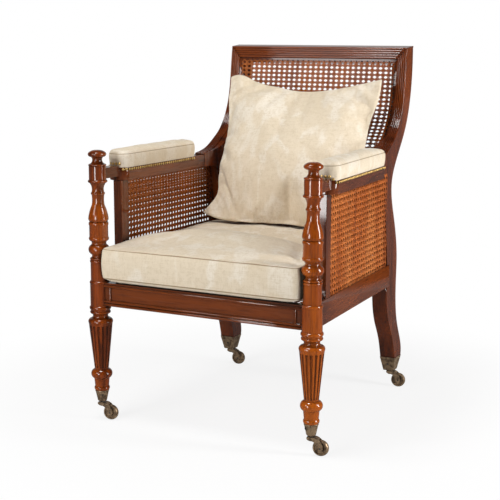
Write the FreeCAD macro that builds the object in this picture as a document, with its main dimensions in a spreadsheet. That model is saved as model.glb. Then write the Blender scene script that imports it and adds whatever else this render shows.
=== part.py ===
import FreeCAD, Part
import math
import os
from types import SimpleNamespace

import Sketcher
from FreeCAD import Placement, Rotation, Vector

# Library armchair: caned back, sides and seat, turned front posts, sabre rear legs, brass castors.
# Millimetres, +Z up, front towards -Y, floor at z = 0, x = 0 in the middle.
# Left and right are as seen from the front, so right is +X.

doc = FreeCAD.newDocument("LibraryArmchair")
sheet = doc.addObject("Spreadsheet::Sheet", "Sizes")

DRIVING_SIZES = (
    ("post_x", 299, "front post axis from the middle"),
    ("post_y", -340, "front post axis, front to back"),
    ("splay", 2.8, "degrees that each side turns in towards the back"),
    ("rail_bottom", 306, "seat rails, underside"),
    ("rail_top", 366, "seat rails, top"),
    ("rail_housing", 12, "post axis to the end of a rail housed in the post"),
    ("front_rail_face", -355, "front rail, foremost bead"),
    ("front_rail_back", -329, "front rail, inner face"),
    ("side_rail_out", 6, "side rail outer face from the post axis"),
    ("side_rail_in", -20, "side rail inner face from the post axis"),
    ("side_rail_end", 548, "side rail, end inside the stile"),
    ("upright_out", 5, "side upright outer face from the post axis"),
    ("upright_in", -20, "side upright inner face from the post axis"),
    ("upright_front", 73, "side upright, front face behind the post axis"),
    ("upright_back", 102, "side upright, back face behind the post axis"),
    ("upright_tenon", 10, "side upright tenon length"),
    ("arm_bottom", 618, "arm board underside"),
    ("arm_top", 652, "arm board top, under the pad"),
    ("arm_front", 71, "arm board front end behind the post axis"),
    ("arm_back", 453, "arm board end, housed in the stile"),
    ("arm_out", 27, "arm board outer edge from the post axis"),
    ("arm_in", -31, "arm board inner edge from the post axis"),
    ("arm_corner", 26, "arm board front corner radius"),
    ("neck_half", 14, "half width of the neck between post and arm board"),
    ("neck_bottom", 629, "neck underside"),
    ("neck_top", 656, "neck top"),
    ("pad_skirt", 2, "pad cover outside the arm board"),
    ("pad_low", 644, "pad cover, lower edge"),
    ("pad_seam", 686, "pad top seam"),
    ("pad_top", 698, "pad crown"),
    ("pad_back_in", 402, "pad back end at its inner edge"),
    ("pad_back_out", 430, "pad back end at its outer edge"),
    ("stile_in", 236, "stile inner face at the floor"),
    ("stile_width", 43, "stile width"),
    ("stile_band", 27, "reeded outer band of the stile"),
    ("stile_recess", 3, "depth of the inner band that holds the cane"),
    ("stile_lean", 0.4, "degrees that each stile leans in"),
    ("horn_taper", 76, "length over which the stile's inner band dies into the arm"),
    ("crest_half", 273.5, "crest rail half length at its top"),
    ("crest_low", 903, "crest rail underside"),
    ("crest_step", 918, "crest rail, lower edge of the reeded band"),
    ("crest_front_top", 950, "crest rail, front top edge"),
    ("crest_back_top", 954, "crest rail, back top edge"),
    ("rear_rail_front", 222, "rear seat rail, front face"),
    ("rear_rail_back", 248, "rear seat rail, back face"),
    ("rear_rail_half", 246, "rear seat rail half length with its tenons"),
    ("lower_rail_height", 34, "lower back rail height"),
    ("lower_rail_depth", 26, "lower back rail thickness"),
    ("lower_rail_half", 243, "lower back rail half length with its tenons"),
    ("cane_thick", 3, "woven cane thickness"),
    ("rail_relief", 1, "front rail, relief of its underside round the posts"),
    ("side_cane_out", 3, "outer side cane, outer face from the post axis"),
    ("side_cane_in", -14, "inner side cane, outer face from the post axis"),
    ("block_leg", 52, "corner block leg length"),
    ("block_tip", 8, "corner block, width of its blunt tips"),
    ("block_bottom", 312, "corner block underside"),
    ("block_top", 352, "corner block top"),
    ("reed_count", 16, "grooves round the reeded leg"),
    ("cup_wall", 1.4, "castor cup wall"),
    ("front_cup_bottom", 49, "front castor cup underside"),
    ("rear_cup_y", 285, "rear castor cup axis, front to back"),
    ("rear_cup_x", 257, "rear castor cup axis from the middle"),
    ("rear_cup_top", 88.9, "rear castor cup rim"),
    ("rear_cup_bottom", 49, "rear castor cup underside"),
    ("rear_cup_floor", 4, "rear castor cup, thickness of its floor"),
    ("trail", 24, "castor axle behind its swivel axis"),
    ("trail_turn", 10, "degrees that the castors point behind +X"),
    ("wheel_radius", 20, "castor wheel radius"),
    ("wheel_width", 12, "castor wheel width"),
    ("fork_width", 19.6, "castor fork width over its cheeks"),
    ("fork_slot", 13.6, "castor fork gap for the wheel"),
    ("fork_bottom", 38, "castor fork boss underside"),
    ("fork_top", 46, "castor fork boss top"),
    ("fork_boss", 9, "castor fork boss half width"),
    ("swivel_pin", 4, "castor swivel pin radius"),
    ("pin_head", 6, "castor swivel pin, radius of its riveted head"),
    ("pin_head_deep", 2, "castor swivel pin, thickness of its riveted head"),
    ("axle_radius", 2.5, "castor axle radius"),
    ("head_gap", 0.3, "clearance between the fork's boss and the swivel pin's head"),
    ("running_gap", 0.05, "radial clearance of the castor bearings"),
    ("seat_front", -368, "seat cushion, front edge"),
    ("seat_back", 168, "seat cushion, back edge"),
    ("seat_half_front", 271.5, "seat cushion half width at the front"),
    ("seat_half_back", 246, "seat cushion half width at the back"),
    ("seat_low", 366.5, "seat cushion underside"),
    ("seat_seam_low", 382, "seat cushion, lower seam"),
    ("seat_seam_top", 457, "seat cushion, upper seam"),
    ("seat_crown", 473, "seat cushion crown"),
    ("seat_corner", 18, "seat cushion, rounding of its corners"),
    ("pillow_half", 230, "back cushion half width at its corners"),
    ("pillow_half_height", 214, "back cushion half height at its corners"),
    ("pillow_front", 66, "back cushion, swell in front of its seam"),
    ("pillow_back", 34, "back cushion, swell behind its seam"),
    ("pillow_y", 177, "back cushion middle, front to back"),
    ("pillow_z", 675, "back cushion middle height"),
    ("pillow_corner", 20, "back cushion, rounding of its corners"),
    ("pillow_lean", 23, "degrees that the back cushion leans back"),
    ("pillow_draw_low", 6, "back cushion, how far its lower edge is drawn in"),
    ("pillow_draw_side", 24, "back cushion, how far its side edges are drawn in"),
    ("pillow_draw_top", 42, "back cushion, how far its top edge is drawn in"),
    ("nail_pitch", 9.5, "spacing of the arm pad nails"),
    ("nail_dome", 4.5, "radius of the nail head's dome"),
    ("nail_shank", 9, "nail shank length"),
    ("nail_arch", 5, "height of the nails that pass over the neck, above its top"),
    ("nail_arch_side", 9, "how far the arch of nails reaches past the neck's side"),
)

# Turned front post from the knob down: name, way of reaching the point, radius, height.
# "via" is the middle of an arc that ends at the next row; "to" ends a straight stretch.
POST_TURNING = (
    ("crown", "via", 13, 701.2), ("rim", "end", 19.6, 697.8),
    ("knob", "via", 23.2, 692), ("underknob", "end", 19.4, 686.2),
    ("throat", "via", 13.8, 683.2), ("neck", "end", 12.4, 679),
    ("flare", "via", 14.4, 671.5), ("collar", "end", 20.4, 667.2),
    ("collar_bead", "via", 22.6, 664.8), ("collar_low", "end", 21, 662.3),
    ("arm_block", "to", 21.7, 661.5), ("arm_block_low", "to", 21.7, 627.5),
    ("arm_bead", "via", 24.6, 623.8), ("arm_bead_low", "end", 20.8, 620),
    ("cove", "via", 16, 611), ("cove_low", "end", 16, 596),
    ("small_ring", "via", 17.9, 592.7), ("small_ring_low", "end", 15.9, 589.6),
    ("vase_neck", "via", 15, 578), ("vase_shoulder", "end", 16.4, 563),
    ("vase_flare", "via", 22.6, 545.5), ("vase_belly", "end", 25.6, 530.5),
    ("vase_turn", "via", 25.3, 526), ("vase_foot", "end", 22.2, 521.8),
    ("vase_ring", "via", 25, 516.6), ("vase_ring_low", "end", 23.9, 511),
    ("drum_low", "to", 23.9, 482),
    ("drum_ring", "via", 25.4, 476.8), ("drum_ring_low", "end", 21.5, 471.5),
    ("pinch", "via", 18.4, 466.5), ("ball_top", "end", 20.5, 461.2),
    ("ball", "via", 27, 449.6), ("ball_low", "end", 20.2, 437.4),
    ("ball_neck", "via", 18.3, 432.5), ("twin_top", "end", 21.5, 428.3),
    ("twin_upper", "via", 23.6, 425.6), ("twin_mid", "end", 21.8, 423),
    ("twin_lower", "via", 24, 419.6), ("twin_low", "end", 22.6, 416),
    ("shaft_low", "to", 22.6, 369),
    ("seat_ring", "via", 25.8, 365.3), ("seat_ring_low", "end", 24.9, 361.6),
    ("seat_block_low", "to", 24.9, 303),
    ("seat_bead", "via", 27.6, 298), ("seat_bead_low", "end", 24.7, 293.2),
    ("fillet", "to", 24.7, 290),
    ("leg_ring", "via", 26.4, 286.5), ("leg_ring_low", "end", 23, 283),
    ("leg_cove", "via", 19.4, 276), ("bulge_top", "end", 24, 270.6),
    ("bulge", "via", 31.3, 264.4), ("reed_top", "end", 30.4, 257.5),
    ("reed_low", "to", 17.9, 136),
    ("ankle", "via", 27.4, 123.2), ("ankle_low", "end", 19.8, 111),
    ("foot_top", "to", 17.8, 90),
    ("foot_ring", "via", 19.9, 84), ("foot_ring_low", "end", 17.2, 79),
    ("spigot_top", "to", 15.6, 79), ("spigot_low", "to", 11, 56),
)
POST_TOP = 702
POST_LENGTHS = ("arm_block_low", "vase_foot", "drum_low", "shaft_low", "seat_block_low", "reed_low",
                "spigot_low")

# Back stile seen from the side, as (y, z) points of its curves.
STILE_SWEEP = ((327, 950), (316, 868), (301, 794), (268, 733), (240, 706), (212, 689),
               (178, 671), (142, 660), (108, 655))
STILE_LEG_FRONT = ((166, 598), (172, 552), (183, 480), (194, 390), (195, 300), (198, 252),
                   (214, 201), (240, 156), (256, 113), (262, 89))
STILE_LEG_BACK = ((309, 89), (310, 112), (296, 149), (276, 192), (265, 240), (264, 310),
                  (267, 385), (240, 496), (223, 548), (222, 592), (242, 633), (283, 683),
                  (326, 741), (350, 797), (366, 872), (370, 954))

# Back cane seen from the side, as (y, z) points from the crest rail down to the lower back rail.
BACK_CANE_LINE = ((323.7, 903), (318.9, 868), (304, 794), (272, 735), (242, 704), (215, 662), (198, 610),
                  (193, 551), (197, 500), (206, 455))

# Back cane, side cane and seat cane: openings across and up.
BACK_GAPS = (17, 16)
BACK_STRIPS = 8
SIDE_GAPS = (20, 13)
SEAT_GAPS = (17, 17)
GAP_SHARE = 0.55

# Nodes of several solids: rows of identical fasteners, and the back cane in strips along its curve
GROUPS = ("arm_nails", "corner_block_screws", "castor_cup_screws", "cane_back")


class Size(float):
    """A length that remembers the sheet cells it is worked out from."""

    def __new__(cls, value, text):
        size = super().__new__(cls, value)
        size.text = text
        return size

    def __add__(self, other):
        return worked(float(self) + float(other), self, "+", other)

    def __radd__(self, other):
        return worked(float(other) + float(self), other, "+", self)

    def __sub__(self, other):
        return worked(float(self) - float(other), self, "-", other)

    def __rsub__(self, other):
        return worked(float(other) - float(self), other, "-", self)

    def __mul__(self, other):
        return worked(float(self) * float(other), self, "*", other)

    __rmul__ = __mul__

    def __truediv__(self, other):
        return worked(float(self) / float(other), self, "/", other)

    def __neg__(self):
        return worked(-float(self), 0, "-", self)


def words(value):
    return value.text if isinstance(value, Size) else f"({float(value):.6g})"


def worked(value, left, sign, right):
    return Size(value, f"({words(left)} {sign} {words(right)})")


def sine(turn):
    return Size(math.sin(math.radians(turn)), f"sin({words(turn)} * 1deg)")


def cosine(turn):
    return Size(math.cos(math.radians(turn)), f"cos({words(turn)} * 1deg)")


def tangent(turn):
    return Size(math.tan(math.radians(turn)), f"tan({words(turn)} * 1deg)")


def fill_sheet():
    """Writes every driving size to the sheet and returns them by name."""
    rows = list(DRIVING_SIZES)
    for name, way, radius, height in POST_TURNING:
        rows.append((f"turn_{name}_radius", radius, "front post turning"))
        rows.append((f"turn_{name}_height", height, "front post turning"))
    rows.append(("post_top", POST_TOP, "top of the front post"))
    book = SimpleNamespace()
    for row, (name, value, note) in enumerate(rows, start=1):
        sheet.set(f"A{row}", name)
        sheet.set(f"B{row}", str(value))
        sheet.set(f"C{row}", note)
        sheet.setAlias(f"B{row}", name)
        setattr(book, name, Size(value, f"Sizes.{name}"))
    doc.recompute()
    return book


size = fill_sheet()
nodes = {}


def bind(item, prop, value):
    """Sets a property, and binds it to the sheet where the value comes from there."""
    if isinstance(value, Size):
        item.setExpression(prop, value.text)
    else:
        setattr(item, prop, value)


def place(item, x=0, y=0, z=0, axis=Vector(0, 0, 1), turn=0):
    """Puts an item at a point of the chair, turned about an axis by degrees."""
    item.Placement = Placement(Vector(float(x), float(y), float(z)), Rotation(axis, float(turn)))
    for letter, value in zip("xyz", (x, y, z)):
        if isinstance(value, Size):
            item.setExpression(f"Placement.Base.{letter}", value.text)
    if isinstance(turn, Size):
        item.setExpression("Placement.Rotation.Angle", turn.text)
    return item


def body(name):
    return doc.addObject("PartDesign::Body", name)


def sketch(owner, plane, lift=0):
    """A sketch on one of the body's own origin planes, lifted along that plane's normal."""
    item = owner.newObject("Sketcher::SketchObject", f"{owner.Name}_outline")
    support = [f for f in owner.Origin.OriginFeatures if f.Role == plane][0]
    item.AttachmentSupport = (support, [""])
    item.MapMode = "FlatFace"
    item.AttachmentOffset = Placement(Vector(0, 0, float(lift)), Rotation())
    if isinstance(lift, Size):
        item.setExpression("AttachmentOffset.Base.z", lift.text)
    return item


def flat(point):
    return Vector(float(point[0]), float(point[1]), 0)


def clockwise(begin, middle, end):
    """True where an arc turns clockwise, so that a sketch takes its end as its start."""
    return (flat(middle) - flat(begin)).cross(flat(end) - flat(middle)).z < 0


def hold(item, rules):
    """Adds (kind, references, value) rules to a sketch at once, bound to the sheet."""
    made = [Sketcher.Constraint(kind, *references, float(value)) if value is not None
            else Sketcher.Constraint(kind, *references) for kind, references, value in rules]
    for number, (kind, references, value) in zip(item.addConstraint(made), rules):
        if isinstance(value, Size):
            item.setExpression(f"Constraints[{number}]", value.text)


def pinned(index, end, point):
    """Rules that hold one end of an edge at a point."""
    return [(kind, (-1, 1, index, end), value) for kind, value in zip(("DistanceX", "DistanceY"), point)]


def outline(item, start, runs):
    """Draws a closed outline. A run is ("to", end), ("arc", middle, end) or ("curve", points)."""
    edges = []
    ends = []
    here = start
    for run in runs:
        there = run[1][-1] if run[0] == "curve" else run[-1]
        begin, finish = 1, 2
        if run[0] == "to":
            edge = Part.LineSegment(flat(here), flat(there))
        elif run[0] == "arc":
            edge = Part.Arc(flat(here), flat(run[1]), flat(there))
            if clockwise(here, run[1], there):
                begin, finish = 2, 1
        else:
            edge = Part.BSplineCurve()
            edge.interpolate([flat(here)] + [flat(point) for point in run[1]])
        edges.append(edge)
        ends.append((begin, finish, there))
        here = there
    first = item.GeometryCount
    item.addGeometry(edges)
    rules = []
    for number, (begin, finish, there) in enumerate(ends):
        index = first + number
        after = (number + 1) % len(edges)
        rules.append(("Coincident", (index, finish, first + after, ends[after][0]), None))
        rules.extend(pinned(index, finish, there))
    hold(item, rules)
    return item


def rectangle(item, low_x, low_y, high_x, high_y):
    corners = [(high_x, low_y), (high_x, high_y), (low_x, high_y), (low_x, low_y)]
    return outline(item, (low_x, low_y), [("to", corner) for corner in corners])


def circle(item, x, y, radius):
    index = item.addGeometry(Part.Circle(flat((x, y)), Vector(0, 0, 1), float(radius)))
    hold(item, pinned(index, 3, (x, y)) + [("Radius", (index,), radius)])
    return item


def feature(owner, kind, profile, prop=None, value=None):
    item = owner.newObject(f"PartDesign::{kind}", f"{owner.Name}_{kind.lower()}")
    item.Profile = profile
    if prop:
        bind(item, prop, value)
    return item


def pad(owner, profile, length):
    return feature(owner, "Pad", profile, "Length", length)


def revolve(owner, profile):
    item = feature(owner, "Revolution", profile)
    item.ReferenceAxis = (profile, ["V_Axis"])
    item.Angle = 360
    return item


def loft(owner, sections, kind="AdditiveLoft", ruled=False):
    item = feature(owner, kind, sections[0])
    item.Sections = sections[1:]
    item.Ruled = ruled
    return item


def together(name, items):
    item = doc.addObject("Part::Compound", name)
    item.Links = items
    return item


def cut(name, base, tools):
    item = doc.addObject("Part::Cut", name)
    item.Base = base
    item.Tool = tools[0] if len(tools) == 1 else together(f"{name}_tools", tools)
    return item


def fuse(name, base, tool):
    item = doc.addObject("Part::Fuse", name)
    item.Base = base
    item.Tool = tool
    return item


def solid(name, shape):
    item = doc.addObject("Part::Feature", name)
    item.Shape = shape
    return item


def mirrored(name, source):
    item = doc.addObject("Part::Mirroring", name)
    item.Source = source
    item.Normal = Vector(1, 0, 0)
    return item


def node(name, item):
    item.Label = name
    nodes[name] = item
    return item


def pair(name, right):
    """Names the right piece and adds its mirror image on the left."""
    node(f"{name}_right", right)
    node(f"{name}_left", mirrored(f"{name}_left", right))


def beside_post(item):
    """Places a piece drawn from the right post's axis, turned in with the side of the chair."""
    return place(item, size.post_x, size.post_y, 0, turn=size.splay)


def plank(name, low_x, low_y, high_x, high_y, low_z, high_z):
    """A square-edged board between two plan corners and two heights."""
    board = body(name)
    plan = rectangle(sketch(board, "XY_Plane", low_z), low_x, low_y, high_x, high_y)
    pad(board, plan, high_z - low_z)
    return board


def turned_length(post, stations, top):
    """Revolves one length of the post: stations from its top radius down, closed on the axis."""
    profile = sketch(post, "XZ_Plane")
    runs = [("to", top)] if float(top[0]) > 0 else []
    middle = None
    for name, way, radius, height in stations:
        point = getattr(size, f"turn_{name}_radius"), getattr(size, f"turn_{name}_height")
        if way == "via":
            middle = point
        elif way == "end":
            runs.append(("arc", middle, point))
        else:
            runs.append(("to", point))
    runs.append(("to", (0, point[1])))
    runs.append(("to", (0, top[1])))
    revolve(post, outline(profile, (0, top[1]), runs))
    return profile, point


def front_post_blank():
    """Turned post and reeded leg, with a spigot for the castor cup."""
    post = body("post_turning")
    top = (0, size.post_top)
    stations = []
    for station in POST_TURNING:
        stations.append(station)
        if station[0] in POST_LENGTHS:
            profile, top = turned_length(post, stations, top)
            stations = []

    groove_inset = 4.5
    taper = (size.turn_reed_top_radius - size.turn_reed_low_radius) / (
        size.turn_reed_top_height - size.turn_reed_low_height)
    groove_share = 0.105
    top_radius, low_radius = size.turn_reed_top_radius, size.turn_reed_low_radius
    top_groove = sketch(post, "XY_Plane", size.turn_reed_top_height - groove_inset)
    circle(top_groove, top_radius - taper * groove_inset, 0, top_radius * groove_share)
    low_groove = sketch(post, "XY_Plane", size.turn_reed_low_height + groove_inset)
    circle(low_groove, low_radius + taper * groove_inset, 0, low_radius * groove_share)
    groove = loft(post, [top_groove, low_groove], "SubtractiveLoft", ruled=True)
    doc.recompute()
    reeds = post.newObject("PartDesign::PolarPattern", "post_reeds")
    reeds.Originals = [groove]
    reeds.Axis = (profile, ["V_Axis"])
    reeds.Angle = 360
    bind(reeds, "Occurrences", size.reed_count)
    post.Tip = reeds
    return place(post, size.post_x, size.post_y)


def front_rail():
    """Front rail: sunk field between a top bead and twin lower beads, an upright bead at each end."""
    bead = 3.5
    sunk = size.front_rail_face + 5
    ground = size.front_rail_face + bead
    half = size.post_x - size.rail_housing
    bottom, top = size.rail_bottom, size.rail_top
    rail = body("front_seat_rail")
    section = sketch(rail, "YZ_Plane", -half)
    outline(section, (size.front_rail_back, bottom), [
        ("to", (ground, bottom)),
        ("arc", (size.front_rail_face, bottom + 4), (ground, bottom + 8)),
        ("arc", (size.front_rail_face + 0.5, bottom + 11.5), (ground, bottom + 15)),
        ("to", (sunk, bottom + 16)),
        ("to", (sunk, top - 13)),
        ("to", (ground, top - 12)),
        ("arc", (size.front_rail_face, top - 8), (ground, top - 4)),
        ("to", (ground, top)),
        ("to", (size.front_rail_back, top)),
        ("to", (size.front_rail_back, bottom)),
    ])
    pad(rail, section, half * 2)
    end_beads = sketch(rail, "XY_Plane", bottom + 14)
    for side in (-1, 1):
        circle(end_beads, (half - 26) * side, sunk, bead)
    pad(rail, end_beads, top - bottom - 26)
    return rail


def stile_blank():
    """Sabre leg, stile and arm sweep in one piece: a reeded outer band and a recessed inner band."""
    stile = body("stile_board")
    bands = ((size.stile_width - size.stile_band, size.stile_band, 0),
             (0, size.stile_width - size.stile_band, size.stile_recess))
    bracket = ((158, 613), STILE_LEG_FRONT[0])
    for lift, width, recess in bands:
        sweep = [(y + recess, z) for y, z in STILE_SWEEP]
        horn_low = (sweep[-1][0], 618)
        profile = sketch(stile, "YZ_Plane", lift)
        outline(profile, sweep[0], [
            ("curve", sweep[1:]),
            ("to", horn_low),
            ("to", (146, 618)),
            ("arc",) + bracket,
            ("curve", STILE_LEG_FRONT[1:]),
            ("to", STILE_LEG_BACK[0]),
            ("curve", STILE_LEG_BACK[1:]),
            ("to", sweep[0]),
        ])
        pad(stile, profile, width)
    return place(stile, size.stile_in, 0, 0, axis=Vector(0, 1, 0), turn=-size.stile_lean)


def horn_side():
    """Wedge cut from the stile's inner band, so that it dies into the arm's inner face."""
    wedge = body("horn_side")
    arm_inner = size.post_x + size.arm_in * cosine(size.splay) - size.arm_back * sine(size.splay)
    stile_inner = size.stile_in - size.arm_bottom * sine(size.stile_lean)
    arm_end = STILE_SWEEP[-1][0]
    before, inside = arm_end - size.stile_width, stile_inner - size.stile_width
    plan = sketch(wedge, "XY_Plane", size.arm_bottom - size.stile_band)
    corners = ((arm_inner, before), (arm_inner, arm_end), (stile_inner, arm_end + size.horn_taper),
               (inside, arm_end + size.horn_taper), (inside, before))
    outline(plan, corners[-1], [("to", corner) for corner in corners])
    pad(wedge, plan, size.horn_taper * 2)
    return wedge


def tapered(name, top, low, top_z, low_z):
    """A square taper between two half sizes, drawn about the rear castor axis."""
    taper = body(name)
    ends = []
    for (half_x, half_y), z in ((top, top_z), (low, low_z)):
        ends.append(rectangle(sketch(taper, "XY_Plane", z), -half_x, -half_y, half_x, half_y))
    loft(taper, ends, ruled=True)
    return taper


def mitre_side(name, inside):
    """Everything on one side of the crest rail's right mitre, as a cutting block."""
    block = body(name)
    rise = size.crest_front_top - size.crest_low
    run = size.stile_width
    low = (size.crest_half - run * 2, size.crest_front_top - rise * 2)
    high = (size.crest_half + run, size.crest_front_top + rise)
    far_x = low[0] - run * 8 if inside else high[0] + run
    behind, depth = 500, 300
    profile = sketch(block, "XZ_Plane", -behind)
    outline(profile, low, [("to", high), ("to", (far_x, high[1])), ("to", (far_x, low[1])), ("to", low)])
    pad(block, profile, depth)
    return block


def crest_blank():
    """Crest rail section: reeded band over a recessed band for the cane."""
    lean = (STILE_SWEEP[0][0] - STILE_SWEEP[1][0]) / (STILE_SWEEP[0][1] - STILE_SWEEP[1][1])
    face = STILE_SWEEP[0][0]
    back = STILE_LEG_BACK[-1][0]
    step_y = face - (size.crest_front_top - size.crest_step) * lean
    low_y = face - (size.crest_front_top - size.crest_low) * lean
    rail = body("crest_board")
    section = sketch(rail, "YZ_Plane", -size.crest_half)
    outline(section, (face, size.crest_front_top), [
        ("to", (step_y, size.crest_step)),
        ("to", (step_y + size.stile_recess, size.crest_step)),
        ("to", (low_y + size.stile_recess, size.crest_low)),
        ("to", (back - 2, size.crest_low)),
        ("to", (back, size.crest_back_top)),
        ("to", (face, size.crest_front_top)),
    ])
    pad(rail, section, size.crest_half * 2)
    return rail


def arm_board():
    """Arm board with rounded front corners, the neck to the post and a housed back end."""
    board = body("arm_board")
    front, back = size.arm_front, size.arm_back
    inner, outer, corner = size.arm_in, size.arm_out, size.arm_corner
    bend = corner * (1 - math.sqrt(0.5))
    horn = 2
    plan = sketch(board, "XY_Plane", size.arm_bottom)
    outline(plan, (inner, back), [
        ("to", (inner, front + corner)),
        ("arc", (inner + bend, front + bend), (inner + corner, front)),
        ("to", (outer - corner, front)),
        ("arc", (outer - bend, front + bend), (outer, front + corner)),
        ("to", (outer, back - outer + horn)),
        ("to", (horn, back - 4)),
        ("to", (horn, back)),
        ("to", (inner, back)),
    ])
    pad(board, plan, size.arm_top - size.arm_bottom)
    neck = sketch(board, "XY_Plane", size.neck_bottom)
    rectangle(neck, -size.neck_half, size.rail_housing, size.neck_half, front + 6)
    pad(board, neck, size.neck_top - size.neck_bottom)
    return beside_post(board)


def pad_outline(item, inset):
    """Plan of the arm pad: rounded front corners and a slanted back end, drawn in by inset."""
    front = size.arm_front - size.pad_skirt + inset
    inner = size.arm_in - size.pad_skirt + inset
    outer = size.arm_out + size.pad_skirt - inset
    corner = size.arm_corner + size.pad_skirt - inset / 2
    bend = corner * (1 - math.sqrt(0.5))
    return outline(item, (inner, size.pad_back_in - inset), [
        ("to", (inner, front + corner)),
        ("arc", (inner + bend, front + bend), (inner + corner, front)),
        ("to", (outer - corner, front)),
        ("arc", (outer - bend, front + bend), (outer, front + corner)),
        ("to", (outer, size.pad_back_out - inset)),
        ("to", (inner, size.pad_back_in - inset)),
    ])


def arm_pad_blank():
    """Stuffed pad: a skirt over the board's edge, slightly swelling sides, a seam and a crown."""
    form = body("arm_pad_form")
    swell = (size.pad_low + size.pad_seam) / 2
    crown_start = (size.pad_seam + size.pad_top) / 2 + 1
    steps = ((size.pad_low, 0), (swell, -1.5), (size.pad_seam, 0.5), (crown_start, 5), (size.pad_top, 16))
    loft(form, [pad_outline(sketch(form, "XY_Plane", z), inset) for z, inset in steps])
    return beside_post(form)


def nail_row():
    """Domed nails round the lower edge of the arm pad, from the inner back to the outer back."""
    skirt = float(size.pad_skirt)
    front = float(size.arm_front) - skirt
    inner = float(size.arm_in) - skirt
    outer = float(size.arm_out) + skirt
    corner = float(size.arm_corner) + skirt
    bow = corner * math.pi / 2
    sides = float(size.pad_back_in) - front - corner, float(size.pad_back_out) - front - corner
    flat_front = outer - inner - 2 * corner
    whole = sides[0] + bow + flat_front + bow + sides[1]
    count = int(whole / float(size.nail_pitch))
    row_height = float(size.pad_low) + 3
    arch_height = float(size.neck_top + size.nail_arch)
    arch_half = float(size.neck_half + size.nail_arch_side)
    arch_foot = 6
    base_latitude = 40
    nails = []
    for number in range(count):
        along = (number + 0.5) * whole / count
        if along < sides[0]:
            spot, way = (inner, front + corner + sides[0] - along), 180
        elif along < sides[0] + bow:
            turn = (along - sides[0]) / corner
            spot = (inner + corner - corner * math.cos(turn), front + corner - corner * math.sin(turn))
            way = 180 + math.degrees(turn)
        elif along < sides[0] + bow + flat_front:
            spot, way = (inner + corner + along - sides[0] - bow, front), 270
        elif along < whole - sides[1]:
            turn = (along - sides[0] - bow - flat_front) / corner
            spot = (outer - corner + corner * math.sin(turn), front + corner - corner * math.cos(turn))
            way = 270 + math.degrees(turn)
        else:
            spot, way = (outer, front + corner + along - whole + sides[1]), 0
        height = row_height
        if spot[1] < front + corner / 2:
            lifted = min(1, max(0, (arch_half - abs(spot[0])) / arch_foot))
            height += (arch_height - row_height) * lifted
        out = Vector(math.cos(math.radians(way)), math.sin(math.radians(way)), 0)
        seat = Vector(spot[0], spot[1], height) + out * 0.05
        sunk = float(size.nail_dome) * math.sin(math.radians(base_latitude))
        head = Part.makeSphere(float(size.nail_dome), seat - out * sunk, out, base_latitude, 90, 360)
        shank = Part.makeCylinder(0.8, float(size.nail_shank), seat, -out)
        nails.append(head.fuse(shank).removeSplitter())
    return Part.makeCompound([nail.Solids[0] for nail in nails])


def net(corners, gaps, thickness):
    """A sheet between four corners, pierced by rows of small openings."""
    def at(s, t):
        low = corners[0] * (1 - s) + corners[1] * s
        high = corners[3] * (1 - s) + corners[2] * s
        return low * (1 - t) + high * t

    across, up = gaps
    edge = Part.makePolygon(list(corners) + [corners[0]])
    wires = [edge]
    for column in range(across):
        for row in range(up):
            s0, s1 = ((column + 0.5 + side * GAP_SHARE / 2) / across for side in (-1, 1))
            t0, t1 = ((row + 0.5 + side * GAP_SHARE / 2) / up for side in (-1, 1))
            hole = [at(s0, t0), at(s1, t0), at(s1, t1), at(s0, t1)]
            wires.append(Part.makePolygon(hole + [hole[0]]))
    normal = (corners[1] - corners[0]).cross(corners[3] - corners[0]).normalize()
    return Part.Face(wires, "Part::FaceMakerCheese").extrude(normal * float(thickness))


def back_cane():
    """Caned back: a sheet that follows the stiles, pierced by rows of openings, in level strips."""
    half = float(size.stile_in)
    line = [Vector(-half, y, z) for y, z in BACK_CANE_LINE]
    start, end = line[0], line[-1]
    thick = Vector(0, float(size.cane_thick), 0)
    front, behind = Part.BSplineCurve(), Part.BSplineCurve()
    front.interpolate(line)
    behind.interpolate([point + thick for point in line])
    edges = [front.toShape(), Part.makeLine(end, end + thick), behind.toShape(),
             Part.makeLine(start + thick, start)]
    side = Part.Face(Part.Wire(Part.__sortEdges__(edges)))
    sheet_solid = side.extrude(Vector(half * 2, 0, 0))
    across, up = BACK_GAPS
    side_edge, end_edge = 12, 6
    step_x = (half - side_edge) * 2 / across
    step_z = (start.z - end.z - end_edge * 2) / up
    gap_x, gap_z = step_x * GAP_SHARE, step_z * GAP_SHARE
    front_y, depth = 100, 300
    tools = []
    for column in range(across):
        for row in range(up):
            x = -half + side_edge + (column + 0.5) * step_x - gap_x / 2
            z = end.z + end_edge + (row + 0.5) * step_z - gap_z / 2
            tools.append(Part.makeBox(gap_x, depth, gap_z, Vector(x, front_y, z)))
    pierced = sheet_solid.cut(Part.makeCompound(tools))
    levels = [end.z + end_edge + row * step_z for row in range(0, up + 1, up // BACK_STRIPS)]
    levels[0], levels[-1] = end.z, start.z
    strips = []
    for low, high in zip(levels, levels[1:]):
        slab = Part.makeBox(half * 2, depth, high - low, Vector(-half, front_y, low))
        strips.extend(pierced.common(slab).Solids)
    return Part.makeCompound(strips), end


def side_cane(face):
    """Caned side from the upright to the stile, its outer face set out from the right post's axis."""
    low, high = float(size.rail_top), float(size.arm_bottom)
    front = float(size.upright_back)
    back_low, back_high = float(size.side_rail_end) - 10, float(size.side_rail_end) - 30
    spots = (front, low), (back_low, low), (back_high, high), (front, high)
    x = float(face - size.cane_thick)
    return net([Vector(x, y, z) for y, z in spots], SIDE_GAPS, size.cane_thick)


def rail_inner_x(y):
    """Inner face of the right side rail, at a distance from front to back."""
    return size.post_x + size.side_rail_in / cosine(size.splay) - (y - size.post_y) * tangent(size.splay)


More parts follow.
